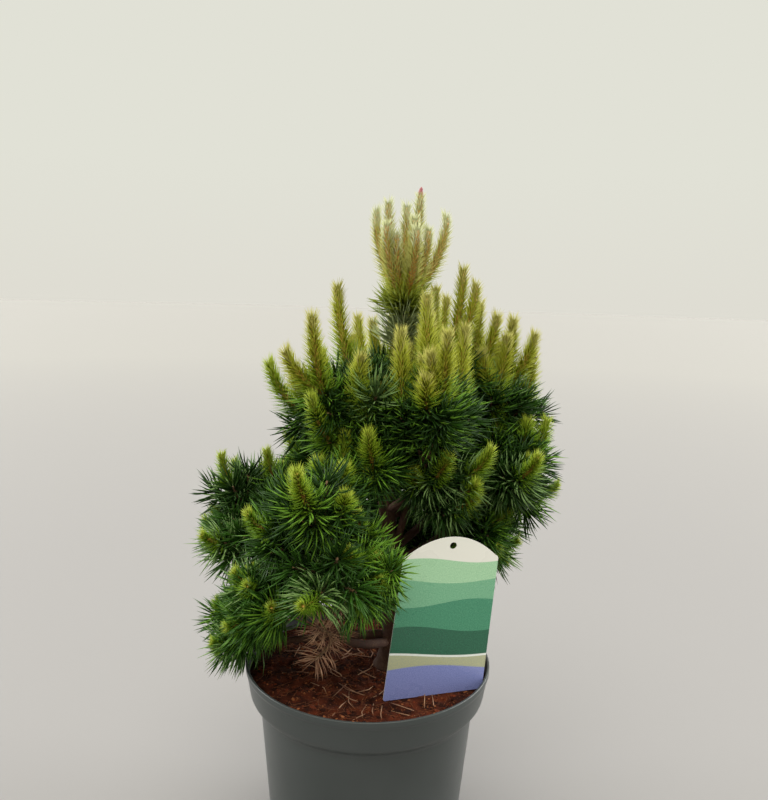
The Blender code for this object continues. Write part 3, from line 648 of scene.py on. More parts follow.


# The trunk and boughs. A short brown stem that flares at the soil, with about two dozen boughs
# swept out and up from it, all in grey-brown bark that breaks into small raised scales. The
# bark's tones are darker than the real bark's: painted shade, for the deep shade inside the crown.
TRUNK_TIP_X = 0.023
TRUNK_TIP_Z = 0.520
TRUNK_SWAY = (0.004, 0.003)
TRUNK_HALF_WAVES = (2.6, 1.7)
TRUNK_RADII = [(0.0, 0.0165), (0.006, 0.0132), (0.016, 0.0115), (0.150, 0.0082), (0.320, 0.0038)]
TRUNK_SIDES = 30
RINGS_IN_SOIL = 2
BOUGH_RADII = (0.0052, 0.0032)
BOUGH_SIDES = 16
BOUGH_BEND_OUT = 0.6
BOUGH_BEND_UP = 0.25
STEM_LENGTH = 0.009
MASS_COLUMNS = ("name", "start", "azimuth", "reach", "fork", "aim", "sides", "length", "fan", "roll")
MASSES = [
    ("leader", 0.520, 90, 0.000, 0.520, 90, 0, 0.060, 0, 0),
    ("upper_left", 0.385, 226, 0.028, 0.461, 33, 4, 0.080, 39, 163),
    ("upper_back_left", 0.406, 107, 0.049, 0.449, 47, 3, 0.076, 48, 183),
    ("upper_right", 0.405, 8, 0.057, 0.465, 90, 3, 0.066, 29, 355),
    ("upper_back", 0.388, 63, 0.062, 0.441, 62, 3, 0.080, 42, 10),
    ("upper_front", 0.375, 301, 0.064, 0.438, 90, 4, 0.074, 25, 251),
    ("right_high", 0.367, 12, 0.101, 0.434, 72, 3, 0.071, 21, 46),
    ("front_high", 0.338, 249, 0.036, 0.416, 60, 3, 0.068, 38, 2),
    ("front_right", 0.330, 324, 0.022, 0.399, 20, 4, 0.071, 29, 194),
    ("right", 0.316, 359, 0.099, 0.403, 37, 4, 0.057, 50, 89),
    ("back_right", 0.330, 38, 0.085, 0.392, 40, 4, 0.078, 44, 38),
    ("back", 0.353, 88, 0.080, 0.400, 42, 4, 0.076, 44, 340),
    ("back_left", 0.333, 128, 0.084, 0.379, 39, 4, 0.078, 43, 0),
    ("left_high", 0.320, 158, 0.118, 0.333, 38, 4, 0.078, 43, 304),
    ("left", 0.300, 174, 0.131, 0.329, 53, 4, 0.079, 54, 114),
    ("front_left", 0.310, 245, 0.113, 0.363, 43, 4, 0.087, 53, 259),
    ("left_low", 0.270, 206, 0.119, 0.279, 41, 4, 0.055, 48, 1),
    ("front", 0.281, 255, 0.063, 0.322, 29, 4, 0.089, 22, 267),
    ("front_low", 0.250, 318, 0.042, 0.290, 25, 3, 0.045, 46, 7),
    ("right_low", 0.284, 12, 0.057, 0.333, 24, 4, 0.070, 31, 295),
    ("back_right_low", 0.272, 58, 0.066, 0.288, 24, 4, 0.056, 46, 117),
    ("back_low", 0.258, 98, 0.088, 0.300, 14, 4, 0.068, 48, 77),
    ("back_left_low", 0.246, 143, 0.098, 0.296, 14, 4, 0.070, 48, 0),
    ("left_lowest", 0.235, 182, 0.121, 0.225, 33, 3, 0.066, 33, 333),
    ("dead", 0.228, 234, 0.092, 0.268, 35, 2, 0.036, 60, 100),
]
*ROWS, DEAD_ROW = [dict(zip(MASS_COLUMNS, values)) for values in MASSES]
SCALE_SIZE = 0.0042
SCALE_RELIEF = 0.13
SCALE_EDGE = 1.6
SWELLING = 0.35
RING_SPACING = 0.0022
CRACK_WIDTHS = (0.02, 0.16)


def shade_darkened_bark():
    """Bark of a young pine: grey-brown scales with orange-brown skin in the cracks between,
    all darker than real bark: painted shade for the deep shade inside the crown.
    """
    made, shader = new_material("shade_darkened_pine_bark", "#452e1e", 0.88)
    # Painted shade: the plate and crack tones are darkened to stand in for the shade inside the crown.
    plate = lumpy(shader, 0.009, 5.0, tones=("#352114", "#583c28"), relief=0.0008)
    tree = made.node_tree
    place = add_node(tree, "ShaderNodeTexCoord")
    scales = {"Vector": place.outputs["Object"], "Scale": 1 / SCALE_SIZE}
    cells = add_node(tree, "ShaderNodeTexVoronoi", scales, feature="DISTANCE_TO_EDGE")
    colour = graded(tree, cells.outputs["Distance"], *CRACK_WIDTHS, "#402112", plate)
    tree.links.new(colour, shader.inputs["Base Color"])
    return made


def by_height(table, z):
    """The table's value at this height, in straight lines between its rows."""
    return float(np.interp(z, *zip(*table)))


def trunk_at(z):
    """The trunk's centre at a height: a slight sway about a line from foot to tip."""
    part = (z - SOIL_Z) / (TRUNK_TIP_Z - SOIL_Z)
    line = TRUNK_FOOT_X + (TRUNK_TIP_X - TRUNK_FOOT_X) * part
    x, y = [sway * sin(waves * pi * part) for sway, waves in zip(TRUNK_SWAY, TRUNK_HALF_WAVES)]
    return Vector((line + x, y, z))


def hub(row):
    """Where the mass's twigs fan out."""
    if row["reach"] == 0:
        return trunk_at(TRUNK_TIP_Z) + Vector((0, 0, STEM_LENGTH))
    place = trunk_at(row["start"]) + toward(row["azimuth"], 0) * row["reach"]
    return Vector((place.x, place.y, row["fork"]))


def bough_at(row, part):
    """A point on the bough's sweep: out from the trunk first, then up to the hub."""
    foot = trunk_at(row["start"])
    end = hub(row)
    bend = foot + toward(row["azimuth"], 0) * row["reach"] * BOUGH_BEND_OUT
    bend.z += (end.z - foot.z) * BOUGH_BEND_UP
    return foot * (1 - part) ** 2 + bend * 2 * part * (1 - part) + end * part ** 2


def add_limb(points, faces, path, radii, sides, relief, scale):
    """Adds a closed limb along the path. Its radii are a list, or one for each end to taper
    between, and its skin is raised in scales of this size by a share of its radius."""
    path = [Vector(place) for place in path]
    last = len(path) - 1
    if len(radii) == 2:
        foot, tip = radii
        radii = [foot + (tip - foot) * k / last for k in range(last + 1)]
    first = len(points)
    across = (path[1] - path[0]).normalized().orthogonal()
    for k, (centre, radius) in enumerate(zip(path, radii)):
        along = (path[min(k + 1, last)] - path[max(k - 1, 0)]).normalized()
        across = (across - along * across.dot(along)).normalized()
        beside = along.cross(across)
        for j in range(sides):
            turn = 2 * pi * j / sides
            out = across * cos(turn) + beside * sin(turn)
            place = (centre + out * radius) / scale
            near = noise.voronoi(place)[0]
            skin = radius * (1 + relief * (min(1.0, SCALE_EDGE * (near[1] - near[0])) - 0.5))
            skin *= 1 + SWELLING * relief * noise.noise(place * SWELLING)
            points.append(centre + out * skin)
    for low in range(first, first + last * sides, sides):
        for j in range(sides):
            after = (j + 1) % sides
            faces.append((low + j, low + after, low + sides + after, low + sides + j))
    faces.append(tuple(first + j for j in reversed(range(sides))))
    faces.append(tuple(first + last * sides + j for j in range(sides)))


def make_limbs():
    bark = ([], [])
    rise = TRUNK_TIP_Z + STEM_LENGTH - SOIL_Z
    steps = int(rise / RING_SPACING)
    heights = [rise * k / steps for k in range(-RINGS_IN_SOIL, steps + 1)]
    path = [trunk_at(SOIL_Z + height) for height in heights]
    radii = [by_height(TRUNK_RADII, height) for height in heights]
    add_limb(*bark, path, radii, TRUNK_SIDES, SCALE_RELIEF, SCALE_SIZE)
    boughs = ROWS[1:] + [DEAD_ROW]
    for row in boughs:
        steps = int((hub(row) - trunk_at(row["start"])).length / RING_SPACING)
        path = [bough_at(row, k / steps) for k in range(steps + 1)]
        add_limb(*bark, path, BOUGH_RADII, BOUGH_SIDES, SCALE_RELIEF, SCALE_SIZE)
    names = ["bough_" + row["name"] for row in boughs]
    piece_of("trunk_and_boughs", *bark, shade_darkened_bark(), "bark", "trunk", *names)


make_limbs()


# The twigs. Each bough ends in a fan of thin twigs, each with up to four finer shoots of its
# own, all orange-brown and slightly rough where last year's leaf cushions stand out.
TWIG_RADII = (0.0024, 0.0017)
TWIG_SIDES = 7
TWIG_STEPS = 8
TWIG_RELIEF = 0.16
CUSHION_SIZE = 0.002
TWIG_FAN_SPREAD = (0.9, 1.1)
TWIG_ROLL_SPREAD = (-8, 8)
TWIG_LENGTH_SPREAD = (0.78, 0.92)
TWIG_SAG = 0.05
# These four are tables by height: metres or a number at each height in metres.
CANDLE_LENGTH = [(0.25, 0.014), (0.32, 0.018), (0.36, 0.027), (0.44, 0.038), (0.50, 0.073), (0.585, 0.124)]
CANDLE_COUNT = [(0.25, 1.0), (0.42, 1.0), (0.50, 1.6), (0.55, 2.2), (0.585, 6.0)]
CANDLE_LIFT = [(0.25, 0.15), (0.36, 0.4), (0.42, 1.0), (0.50, 1.8), (0.585, 4.0)]
CANDLE_BULGES = [(0.50, 0.15), (0.56, 0.26)]
CANDLE_LEAN = 7
CANDLE_LENGTH_SPREAD = (0.85, 1.05)
CANDLE_COUNT_SPREAD = (-0.5, 0.5)
GOLDEN_ANGLE = 137.5
SIDE_CANDLE_FAN = (13, 27)
SIDE_CANDLE_ROLL_SPREAD = (-15, 15)
SIDE_CANDLE_SHARE = (0.65, 0.92)
LEADER_INNER_CANDLES = [(12, 153, 0.91), (9, 272, 0.90), (21, 113, 0.65), (19, 26, 0.70), (14, 66, 0.77)]
OPEN_SPACES = [((-0.003, -0.200, 0.365), (0.040, -0.020, 0.425)),
               ((-0.015, -0.120, 0.545), (0.015, -0.020, 0.640))]
LABEL_FRONT = ((-0.004, 0.0, 0.0), (LABEL_WIDTH + 0.004, LABEL_TOP, 0.09))
FINE_SHOOTS = 4
FINE_TWIG_SIZE = 0.75
FINE_START = (0.36, 0.62)
FINE_FAN = (36, 50)
FINE_ROLL_SPREAD = (-25, 25)
FINE_LENGTH = (0.42, 0.54)
FINE_LIFT = 0.30
FINE_CANDLE_SHARE = 0.45
FINE_CANDLE_ODDS = 0.17
LIMB_CLEARANCE = 0.004
LABEL_ROOT = 0.01
INSIDE_RIM = 0.1265
OUTSIDE_RIM = 0.1315
ABOVE_RIM = 0.2135
ABOVE_SOIL = 0.202
BELOW_COLLAR = (0.118, 0.190)
BOX_MARGIN = 0.008


def orange_brown_twig():
    """Young pine twig: orange-brown, matt, with paler leaf cushions."""
    made, shader = new_material("orange_brown_twig", "#584026", 0.8)
    lumpy(shader, CUSHION_SIZE, 4.0, tones=("#44301c", "#6c5030"), relief=0.0005)
    return made


def on_card(points):
    """The points in the label's own space: across it, up it, and out from its front."""
    away = np.array(label_frame().inverted())
    return points @ away[:3, :3].T + away[:3, 3]


def inside(points, low, high):
    """Which of the points lie in a box."""
    return np.all((np.array(points) > low) & (np.array(points) < high), axis=-1)


def in_front_of_label(points):
    """Which of the points lie within 9 cm of the label's printed face."""
    return inside(on_card(points), *LABEL_FRONT)


def room_for(paths, margin):
    """Which of the paths, rows of points, are clear of the label, the pot and the soil."""
    across, up, ahead = np.moveaxis(on_card(paths), -1, 0)
    within = (across > -margin) & (across < LABEL_WIDTH + margin)
    within &= (up > -LABEL_ROOT) & (up < LABEL_TOP + margin)
    near = (np.abs(ahead) < margin) & within
    crossed = np.any((ahead[:, 1:] * ahead[:, :-1] < 0) & (within[:, 1:] | within[:, :-1]), axis=1)
    out = np.hypot(paths[..., 0], paths[..., 1])
    z = paths[..., 2]
    in_wall = (out > INSIDE_RIM) & (out < OUTSIDE_RIM) & (z < ABOVE_RIM)
    in_soil = (out < OUTSIDE_RIM) & (z < ABOVE_SOIL)
    in_side = (out < BELOW_COLLAR[0]) & (z < BELOW_COLLAR[1])
    return ~(crossed | np.any(near | in_wall | in_soil | in_side, axis=1))


def bow(part):
    """A bow over a length: nothing at its two ends, and 1 in its middle."""
    return 4 * part * (1 - part)


def twig_points(shoot, part):
    """Points on a twig, which sags a little between its ends."""
    root = np.array(shoot["root"])
    way = np.array(shoot["whorl"]) - root
    points = root + way * part[:, None]
    points[:, 2] -= TWIG_SAG * np.linalg.norm(way) * bow(part)
    return points


def candle_points(whorl, tip, steps):
    """Points on a candle, which leaves its twig outwards and then turns upright."""
    part = np.linspace(0, 1, steps + 1)[:, None]
    way = np.array(tip - whorl)
    bulge = way * (1, 1, 0) * by_height(CANDLE_BULGES, whorl.z)
    return np.array(whorl) + way * part + bulge * bow(part)


def has_room(whorl, tip):
    """Whether a candle is clear of the label and the pot, and inside the plant's measured size."""
    path = candle_points(whorl, tip, 6)[None]
    limits = np.array(cad_box) + [[BOX_MARGIN], [-BOX_MARGIN]]
    return inside(tip, *limits) and room_for(path, LIMB_CLEARANCE)[0]


def stays_open(place):
    """Whether a place lies in one of the crown's open spaces: in front of the trunk, where it
    shows between the boughs, and in front of the leader's foot."""
    return any(inside(place, *space) for space in OPEN_SPACES)


def clear_way(start, end):
    """Whether the straight way between two places is clear."""
    return room_for(np.array([[start, start.lerp(end, 0.5), end]]), LIMB_CLEARANCE)[0]


def turned(axis, fan, roll):
    """The axis leant over by the fan angle, towards the roll angle."""
    side = axis.cross(Vector((0, 0, 1)))
    if side.length < 1e-3:
        side = Vector((1, 0, 0))
    side.normalize()
    up = side.cross(axis)
    lean = side * cos(radians(roll)) + up * sin(radians(roll))
    return axis * cos(radians(fan)) + lean * sin(radians(fan))


def candle_tip(whorl, way, fan, roll, tall):
    """The tip of a candle that fans out from its twig's way, more upright the higher it stands."""
    upright = (way + Vector((0, 0, by_height(CANDLE_LIFT, whorl.z)))).normalized()
    return whorl + turned(upright, fan, roll) * tall


def grow(row):
    """The twigs of one mass, each from the hub to its whorl, with the candles that stand there."""
    rng = random.Random(row["name"])
    buds = random.Random(row["name"] + " candles")
    root = hub(row)
    aim = toward(row["azimuth"], row["aim"])
    leader = row["reach"] == 0
    twigs = []
    for k in range(row["sides"] + 1):
        way = aim
        length = row["length"]
        if k > 0:
            fan = row["fan"] * rng.uniform(*TWIG_FAN_SPREAD)
            roll = row["roll"] + 360 * (k - 1) / row["sides"] + rng.uniform(*TWIG_ROLL_SPREAD)
            way = turned(aim, fan, roll)
            length *= rng.uniform(*TWIG_LENGTH_SPREAD)
        whorl = root + way * length
        tall = by_height(CANDLE_LENGTH, whorl.z) * buds.uniform(*CANDLE_LENGTH_SPREAD)
        count = max(1, round(by_height(CANDLE_COUNT, whorl.z) + buds.uniform(*CANDLE_COUNT_SPREAD)))
        candles = [(CANDLE_LEAN, row["roll"] + GOLDEN_ANGLE * k, 1)]
        first = buds.uniform(0, 360)
        for j in range(count - 1):
            fan = buds.uniform(*SIDE_CANDLE_FAN)
            roll = first + 360 * j / (count - 1) + buds.uniform(*SIDE_CANDLE_ROLL_SPREAD)
            candles.append((fan, roll, buds.uniform(*SIDE_CANDLE_SHARE)))
        if leader:
            candles += LEADER_INNER_CANDLES
        tips = [candle_tip(whorl, way, fan, roll, tall * share) for fan, roll, share in candles]
        tips = [tip for tip in tips if not stays_open(tip) and clear_way(whorl, tip)]
        twigs.append({"root": root, "whorl": whorl, "way": way, "tips": tips,
                      "kind": "leader" if leader else "twig"})
    return twigs


def finer_shoots(twig, seed):
    """Up to four thin shoots that leave a twig on all sides and stay within its reach."""
    rng = random.Random(seed)
    length = (twig["whorl"] - twig["root"]).length
    first = rng.uniform(0, 360)
    shoots = []
    for k in range(FINE_SHOOTS):
        root = twig["root"].lerp(twig["whorl"], rng.uniform(*FINE_START))
        roll = first + 360 * k / FINE_SHOOTS + rng.uniform(*FINE_ROLL_SPREAD)
        way = (turned(twig["way"], rng.uniform(*FINE_FAN), roll) + Vector((0, 0, FINE_LIFT))).normalized()
        whorl = root + way * length * rng.uniform(*FINE_LENGTH)
        tall = by_height(CANDLE_LENGTH, whorl.z) * FINE_CANDLE_SHARE * rng.uniform(*CANDLE_LENGTH_SPREAD)
        tip = candle_tip(whorl, way, CANDLE_LEAN, rng.uniform(0, 360), tall)
        tips = [tip] if rng.random() < FINE_CANDLE_ODDS else []
        clear = has_room(whorl, tip) and clear_way(root, whorl)
        if clear and not stays_open(whorl) and not in_front_of_label(np.array(whorl)):
            shoots.append({"root": root, "whorl": whorl, "way": way, "tips": tips, "kind": "fine"})
    return shoots


def all_shoots(rows):
    """Every twig of these masses and its finer shoots."""
    shoots = []
    for row in rows:
        for k, twig in enumerate(grow(row)):
            if stays_open(twig["whorl"]):
                continue
            shoots.append(twig)
            if twig["kind"] != "leader":
                shoots += finer_shoots(twig, f"{row['name']} shoot {k}")
    return shoots


def make_twigs():
    twigs = ([], [])
    for shoot in SHOOTS:
        size = FINE_TWIG_SIZE if shoot["kind"] == "fine" else 1
        path = twig_points(shoot, np.linspace(0, 1, TWIG_STEPS + 1))
        radii = [size * radius for radius in TWIG_RADII]
        add_limb(*twigs, path, radii, TWIG_SIDES, TWIG_RELIEF, CUSHION_SIZE)
    piece_of("twigs", *twigs, orange_brown_twig(), "bark")


SHOOTS = all_shoots(ROWS)
make_twigs()


# The needles. Stiff needles in pairs, 3 to 4 cm long, set in a spiral round the outer part of
# each twig, so that every twig's end is a star. Each star is one plain green: three are dealt
# out by chance, two darker ones for the finer shoots are painted shade for the shade inside
# the crown, and the leader's is silvery.
# The two darkest greens are painted shade: the finer shoots inside the crown get them in place of its
# shade.
GREENS = {"shaded_inner": "#1d370a", "low": "#294a10", "leaf": "#426617", "bright": "#577c21", "grey": "#668048",
          "silver": "#7c8758"}
GREENS_DEALT = ["leaf"] * 3 + ["bright"] * 4 + ["grey"] * 3
LOW_SHOOTS_UNDER = 0.37
NEEDLE_WIDTH = 0.0017
# Each star's pairs of needles, their length and their width.
STARS = {"twig": (60, 0.035, NEEDLE_WIDTH), "fine": (40, 0.0315, NEEDLE_WIDTH),
         "leader": (110, 0.040, 0.0012)}
NEEDLE_ANGLES = (88, 46)
BARE_TIP_ANGLES = (88, 26)
LEADER_ANGLES = (66, 50)
LEADER_BARE_SHARE = 0.28
NEEDLE_SPAN = 0.046
NEEDLE_SPAN_MOST = 0.85
NEEDLE_LENGTH_SPREAD = (0.84, 1.10)
NEEDLE_WIDTH_SPREAD = (0.85, 1.15)
NEEDLE_ANGLE_SPREAD = 7
NEEDLE_SEAT = 0.6
PAIR_SPREAD = (3, 9)
NEEDLE_BEND = 0.05
NEEDLE_BEND_SPREAD = 0.012
# The faces of a spike, which has three measures, and of a bent blade, which has four.
FACES_OF_A_NEEDLE = {3: 4, 4: 10}
FACES_IN_A_PIECE = 190000
# Each fresh ring's needles, their angles, their lengths and how far back they stand.
FRESH_RINGS = {"twig": (34, (24, 62), (0.014, 0.022), 0.008), "fine": (16, (24, 62), (0.014, 0.022), 0.008),
               "leader": (330, (26, 92), (0.026, 0.040), 0.012)}
FRESH_WIDTH = 0.85
FRESH_BEND = 0.07
FRESH_TINTS = [(0.0, "low", "#5f7f18"), (0.385, "high", "#5c7a16"), (0.57, "leader", "#6c7722")]
DEAD_SPACES = [((-0.078, -0.200, 0.235), (-0.024, -0.072, 0.312)),
               ((-0.078, -0.200, 0.300), (-0.024, -0.125, 0.324))]
BOX_SLACK = 0.003
CLEAR_OF_LABEL = 0.0012
SHORTEST_SHARE = 0.3


def waxy_needle(name, colour):
    """A live pine needle: one plain green, with the soft gloss of its wax."""
    made, shader = new_material(name, colour, 0.5, 0.12)
    lumpy(shader, 0.004, 2.0, (0.3, 0.7), gloss=(0.42, 0.60))
    return made


def leant(axis, out, angles):
    """The axis leant over towards out, by an angle for each needle."""
    return axis * np.cos(angles)[:, None] + out * np.sin(angles)[:, None]


def around(axis, count, start):
    """Directions square to the axis, one for each needle, each turned on by the golden angle."""
    side = np.array(Vector(axis).orthogonal().normalized())
    return leant(side, np.cross(axis, side), np.radians(GOLDEN_ANGLE) * np.arange(count) + start)


def star_of_needles(shoot, rng, angles, pairs, length, width):
    """Roots, tips, widths and bends of the needles round the outer part of one twig."""
    reach = (shoot["whorl"] - shoot["root"]).length
    span = min(NEEDLE_SPAN, reach * NEEDLE_SPAN_MOST) / reach
    back = (np.arange(pairs) + 0.5) / pairs
    bare = LEADER_BARE_SHARE if shoot["kind"] == "leader" else 0
    centres = twig_points(shoot, 1 - bare - (span - bare) * back ** 1.15)
    axis = np.array(shoot["way"].normalized())
    out = around(axis, pairs, rng.uniform(0, ANY_TURN))
    aside = np.cross(axis, out)
    lean = angles[1] + (angles[0] - angles[1]) * back ** 0.8
    lean = np.radians(lean + rng.normal(0, NEEDLE_ANGLE_SPREAD, pairs))
    spread = np.radians(rng.uniform(*PAIR_SPREAD, pairs))
    parts = []
    for sign in (-1, 1):
        way = leant(leant(axis, out, lean), sign * aside, spread)
        size = length * rng.uniform(*NEEDLE_LENGTH_SPREAD, pairs)
        roots = centres + out * TWIG_RADII[1] * NEEDLE_SEAT
        bends = (way * np.cos(lean)[:, None] - axis) * (NEEDLE_BEND * size)[:, None]
        bends += rng.normal(0, NEEDLE_BEND_SPREAD, (pairs, 3)) * size[:, None]
        widths = width * rng.uniform(*NEEDLE_WIDTH_SPREAD, pairs)
        parts.append((roots, roots + way * size[:, None], widths, bends))
    return [np.concatenate(arrays) for arrays in zip(*parts)]


def fresh_ring(shoot, rng):
    """The half-grown needles that stand like a cup round a candle's foot."""
    count, angles, lengths, span = FRESH_RINGS[shoot["kind"]]
    axis = np.array(shoot["way"].normalized())
    out = around(axis, count, rng.uniform(0, ANY_TURN))
    way = leant(axis, out, np.radians(rng.uniform(*angles, count)))
    size = rng.uniform(*lengths, count)
    roots = np.array(shoot["whorl"]) - axis * rng.uniform(0, span, count)[:, None]
    roots += out * TWIG_RADII[1] * NEEDLE_SEAT
    widths = NEEDLE_WIDTH * FRESH_WIDTH * rng.uniform(*NEEDLE_WIDTH_SPREAD, count)
    return [roots, roots + way * size[:, None], widths, out * (FRESH_BEND * size)[:, None]]


def sampled(roots, tips):
    """Five points along each needle."""
    return np.stack([roots + (tips - roots) * part for part in np.linspace(0, 1, 5)], axis=1)


def clear_needles(star):
    """The star without the needles that would meet the label, the pot or the soil, and with
    those drawn in that would reach out of the plant's measured size."""
    roots, tips, *others = star
    span = tips - roots
    edge = np.where(span > 0, np.array(cad_box[1]) + BOX_SLACK, np.array(cad_box[0]) - BOX_SLACK)
    share = np.min((edge - roots) / np.where(np.abs(span) < 1e-6, 1e-6, span), axis=1)
    tips = roots + span * np.clip(share, SHORTEST_SHARE, 1)[:, None]
    keep = room_for(sampled(roots, tips), CLEAR_OF_LABEL)
    return [array[keep] for array in (roots, tips, *others)]


def outside_open_fronts(star):
    """The star without the needles that would hang in front of the dead tuft or the label."""
    samples = sampled(*star[:2])
    hidden = in_front_of_label(samples)
    for space in DEAD_SPACES:
        hidden |= inside(samples, *space)
    keep = ~np.any(hidden, axis=1)
    return [array[keep] for array in star]


def needle_pieces(name, stars, material, slot="needles", nodes=()):
    """Joins stars of one colour into pieces that stay under the size for one mesh. The first
    piece stands for the nodes."""
    arrays = [np.concatenate(parts) for parts in zip(*stars)]
    count = len(arrays[0])
    pieces = ceil(count * FACES_OF_A_NEEDLE[len(arrays)] / FACES_IN_A_PIECE)
    for k in range(pieces):
        share = slice(count * k // pieces, count * (k + 1) // pieces)
        title = name if pieces == 1 else f"{name}_{k + 1}"
        piece_of(title, *needles_of(*[array[share] for array in arrays]), material, slot, *nodes)
        nodes = ()


def seeded(words):
    """The chance numbers that these words stand for."""
    return np.random.RandomState(random.Random(words).getrandbits(32))


def make_needles():
    dealt = {tone: [] for tone in GREENS}
    fresh = {name: [] for _, name, _ in FRESH_TINTS}
    deal = random.Random("greens")
    for k, shoot in enumerate(SHOOTS):
        rng = seeded(f"needles {k}")
        tone = deal.choice(GREENS_DEALT)
        angles = NEEDLE_ANGLES if shoot["tips"] else BARE_TIP_ANGLES
        if shoot["kind"] == "fine":
            # Painted shade: the finer shoots take the two darkest greens, which stand in for the shade
            # inside the crown.
            tone = "shaded_inner" if shoot["whorl"].z > LOW_SHOOTS_UNDER else "low"
        if shoot["kind"] == "leader":
            tone = "silver"
            angles = LEADER_ANGLES
        star = clear_needles(star_of_needles(shoot, rng, angles, *STARS[shoot["kind"]]))
        dealt[tone].append(outside_open_fronts(star))
        if shoot["tips"]:
            tier = [name for height, name, _ in FRESH_TINTS if shoot["whorl"].z > height][-1]
            fresh[tier].append(clear_needles(fresh_ring(shoot, rng)))
    nodes = ["foliage_" + row["name"] for row in ROWS]
    for tone, stars in dealt.items():
        material = waxy_needle(tone + "_green_needle", GREENS[tone])
        needle_pieces("needles_" + tone, stars, material, nodes=nodes)
        nodes = ()
    for _, name, colour in FRESH_TINTS:
        needle_pieces("fresh_needles_" + name, fresh[name], waxy_needle(f"fresh_{name}_needle", colour))


make_needles()


# The candles. This spring's shoots, upright and still soft: an orange-brown stem closely set
# with short needles, straw yellow and long on top of the plant, lime green and short below.
STEM_RADII = (0.0022, 0.0013)
STEM_SIDES = 7
STEM_RELIEF = 0.2
STEM_SCALE_SIZE = 0.0018
STEM_COLOURS = {"ripe": ("#8a6222", "#b58234"), "green": ("#86862c", "#b8883a")}
FINE_CANDLE_STOUTNESS = 0.8
# Tables by height, as for the twigs.
CANDLE_STOUTNESS = [(0.42, 1.1), (0.50, 1.5), (0.56, 2.0)]
CANDLE_NEEDLES_PER_METRE = [(0.50, 6600), (0.56, 4800)]
CANDLE_NEEDLE_LENGTHS = [(0.25, 0.0100), (0.38, 0.0112), (0.46, 0.0148), (0.50, 0.0158), (0.60, 0.0138)]
CANDLE_ANGLES = [(0.25, 60), (0.40, 56), (0.55, 46)]
CANDLE_STEPS = 10
CANDLE_FINE_STEPS = 40
CANDLE_NEEDLES_LEAST = 150
CANDLE_TAPER = (1.45, 0.78)
CANDLE_NEEDLE_WIDTH = 0.0012
CANDLE_LENGTHS_VARY = (0.85, 1.12)
CANDLE_TIP_ANGLE = 26
CANDLE_ANGLE_SPREAD = 6
CANDLE_TINTS = {"spring": "#5a7812", "lime": "#86932a", "moss": "#6f8416", "olive": "#8a8f22",
                "straw": "#939044", "gold": "#96954a", "cream": "#a8ab7e"}
# The tints of a candle's foot, middle and tip, from each height up.
CANDLE_TIERS = [(0.0, ("spring", "spring", "lime")), (0.385, ("spring", "moss", "lime")),
                (0.482, ("moss", "olive", "straw")), (0.57, ("olive", "gold", "cream"))]
RIPE_FROM = 0.385
TINT_EDGES = (0.30, 0.78)
TINT_BLUR = 0.08


def soft_new_stem(name, dark, light):
    """A candle's stem: papery orange-brown scales over green, with a dull sheen."""
    made, shader = new_material(name, light, 0.65)
    lumpy(shader, 0.0012, spread=(0.38, 0.62), tones=(dark, light), relief=0.0004)
    return made


def candle_needles(whorl, tip, rng):
    """The short needles of one candle, which lie closer to it towards its tip, and each one's
    share of the way up."""
    length = (tip - whorl).length
    count = max(CANDLE_NEEDLES_LEAST, int(length * by_height(CANDLE_NEEDLES_PER_METRE, whorl.z)))
    part = (np.arange(count) + 0.5) / count
    path = candle_points(whorl, tip, CANDLE_FINE_STEPS)
    spot = part * CANDLE_FINE_STEPS
    low = np.minimum(spot.astype(int), CANDLE_FINE_STEPS - 1)
    step = path[low + 1] - path[low]
    centres = path[low] + step * (spot - low)[:, None]
    along = step / np.linalg.norm(step, axis=1)[:, None]
    out = around(np.array((tip - whorl).normalized()), count, rng.uniform(0, ANY_TURN))
    foot = by_height(CANDLE_ANGLES, whorl.z)
    lean = foot + (CANDLE_TIP_ANGLE - foot) * part ** 1.6
    way = leant(along, out, np.radians(lean + rng.normal(0, CANDLE_ANGLE_SPREAD, count)))
    size = by_height(CANDLE_NEEDLE_LENGTHS, whorl.z) * rng.uniform(*CANDLE_LENGTHS_VARY, count)
    size *= CANDLE_TAPER[0] + (CANDLE_TAPER[1] - CANDLE_TAPER[0]) * part ** 0.7
    roots = centres + out * STEM_RADII[1]
    widths = CANDLE_NEEDLE_WIDTH * rng.uniform(*NEEDLE_WIDTH_SPREAD, count)
    return [roots, roots + way * size[:, None], widths], part


def make_candles():
    stems = {name: ([], []) for name in STEM_COLOURS}
    dealt = {tint: [] for tint in CANDLE_TINTS}
    candles = [(shoot, tip) for shoot in SHOOTS for tip in shoot["tips"]]
    for number, (shoot, tip) in enumerate(candles, 1):
        whorl = shoot["whorl"]
        stout = FINE_CANDLE_STOUTNESS if shoot["kind"] == "fine" else by_height(CANDLE_STOUTNESS, whorl.z)
        path = candle_points(whorl, tip, CANDLE_STEPS)
        radii = [stout * radius for radius in STEM_RADII]
        stem = stems["ripe" if whorl.z > RIPE_FROM else "green"]
        add_limb(*stem, path, radii, STEM_SIDES, STEM_RELIEF, STEM_SCALE_SIZE)
        rng = seeded(f"candle {number}")
        star, part = candle_needles(whorl, tip, rng)
        zone = np.digitize(part + rng.normal(0, TINT_BLUR, len(part)), TINT_EDGES)
        tints = [names for height, names in CANDLE_TIERS if whorl.z > height][-1]
        for k, tint in enumerate(tints):
            dealt[tint].append(clear_needles([array[zone == k] for array in star]))
    for name, stem in stems.items():
        material = soft_new_stem(name + "_candle_stem", *STEM_COLOURS[name])
        piece_of("candle_stems_" + name, *stem, material, "needles")
    for tint, stars in dealt.items():
        material = waxy_needle(tint + "_candle_needle", CANDLE_TINTS[tint])
        needle_pieces("candle_needles_" + tint, stars, material)


make_candles()


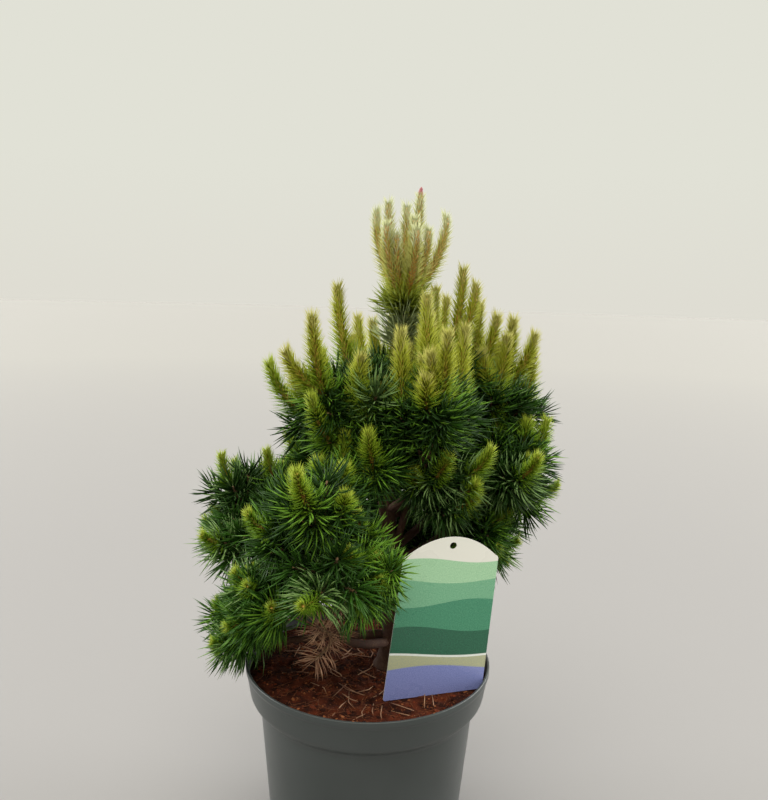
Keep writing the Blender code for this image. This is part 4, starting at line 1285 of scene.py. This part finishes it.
# The dead tuft. Low at the front one small bough has died. Its twigs have kept their needles,
# which have dried to straw brown and stand out more loosely than the live ones.
DEAD_TWIG_RADII = (0.0019, 0.0013)
DEAD_TWIG_STEPS = 6
DEAD_STAR = (34, 0.023, 0.0008)
DEAD_ANGLES = (100, 40)


def make_dead_tuft():
    twigs = ([], [])
    stars = []
    for k, shoot in enumerate(grow(DEAD_ROW)):
        path = twig_points(shoot, np.linspace(0, 1, DEAD_TWIG_STEPS + 1))
        add_limb(*twigs, path, DEAD_TWIG_RADII, TWIG_SIDES, TWIG_RELIEF, CUSHION_SIZE)
        stars.append(clear_needles(star_of_needles(shoot, seeded(f"dead {k}"), DEAD_ANGLES, *DEAD_STAR)))
    piece_of("dead_twigs", *twigs, orange_brown_twig(), "bark")
    needle_pieces("dead_needles", stars, dry_needle(), "dead_needles", ["foliage_dead"])


make_dead_tuft()


# The red bud. The tallest candle of the leader ends in a small cone flower, a soft pinkish-red
# knob of close scales that sits on the candle's tip.
BUD_LENGTH = 0.012
BUD_RADIUS = 0.0027
BUD_LEAST_RADIUS = 0.0002
BUD_SUNK = 0.004
BUD_STEPS = 14
BUD_RELIEF = 0.35
BUD_SCALE_SIZE = 0.0016


def pink_bud():
    """A young cone flower: soft, pinkish-red scales with a faint sheen."""
    made, shader = new_material("pink_bud", "#8a4245", 0.5)
    lumpy(shader, 0.0015, spread=(0.38, 0.62), tones=("#7a343a", "#985050"), relief=0.0004)
    return made


def make_bud():
    leader = SHOOTS[0]
    tip = max(leader["tips"], key=lambda point: point.z)
    along = (tip - leader["whorl"]).normalized()
    parts = [k / BUD_STEPS for k in range(BUD_STEPS + 1)]
    path = [tip + along * (part * BUD_LENGTH - BUD_SUNK) for part in parts]
    rounds = [sin(pi * (0.12 + 0.88 * part)) ** 0.7 for part in parts]
    radii = [max(BUD_LEAST_RADIUS, BUD_RADIUS * share) for share in rounds]
    bud = ([], [])
    add_limb(*bud, path, radii, BUD_STEPS, BUD_RELIEF, BUD_SCALE_SIZE)
    piece_of("red_bud", *bud, pink_bud(), "needles")


make_bud()
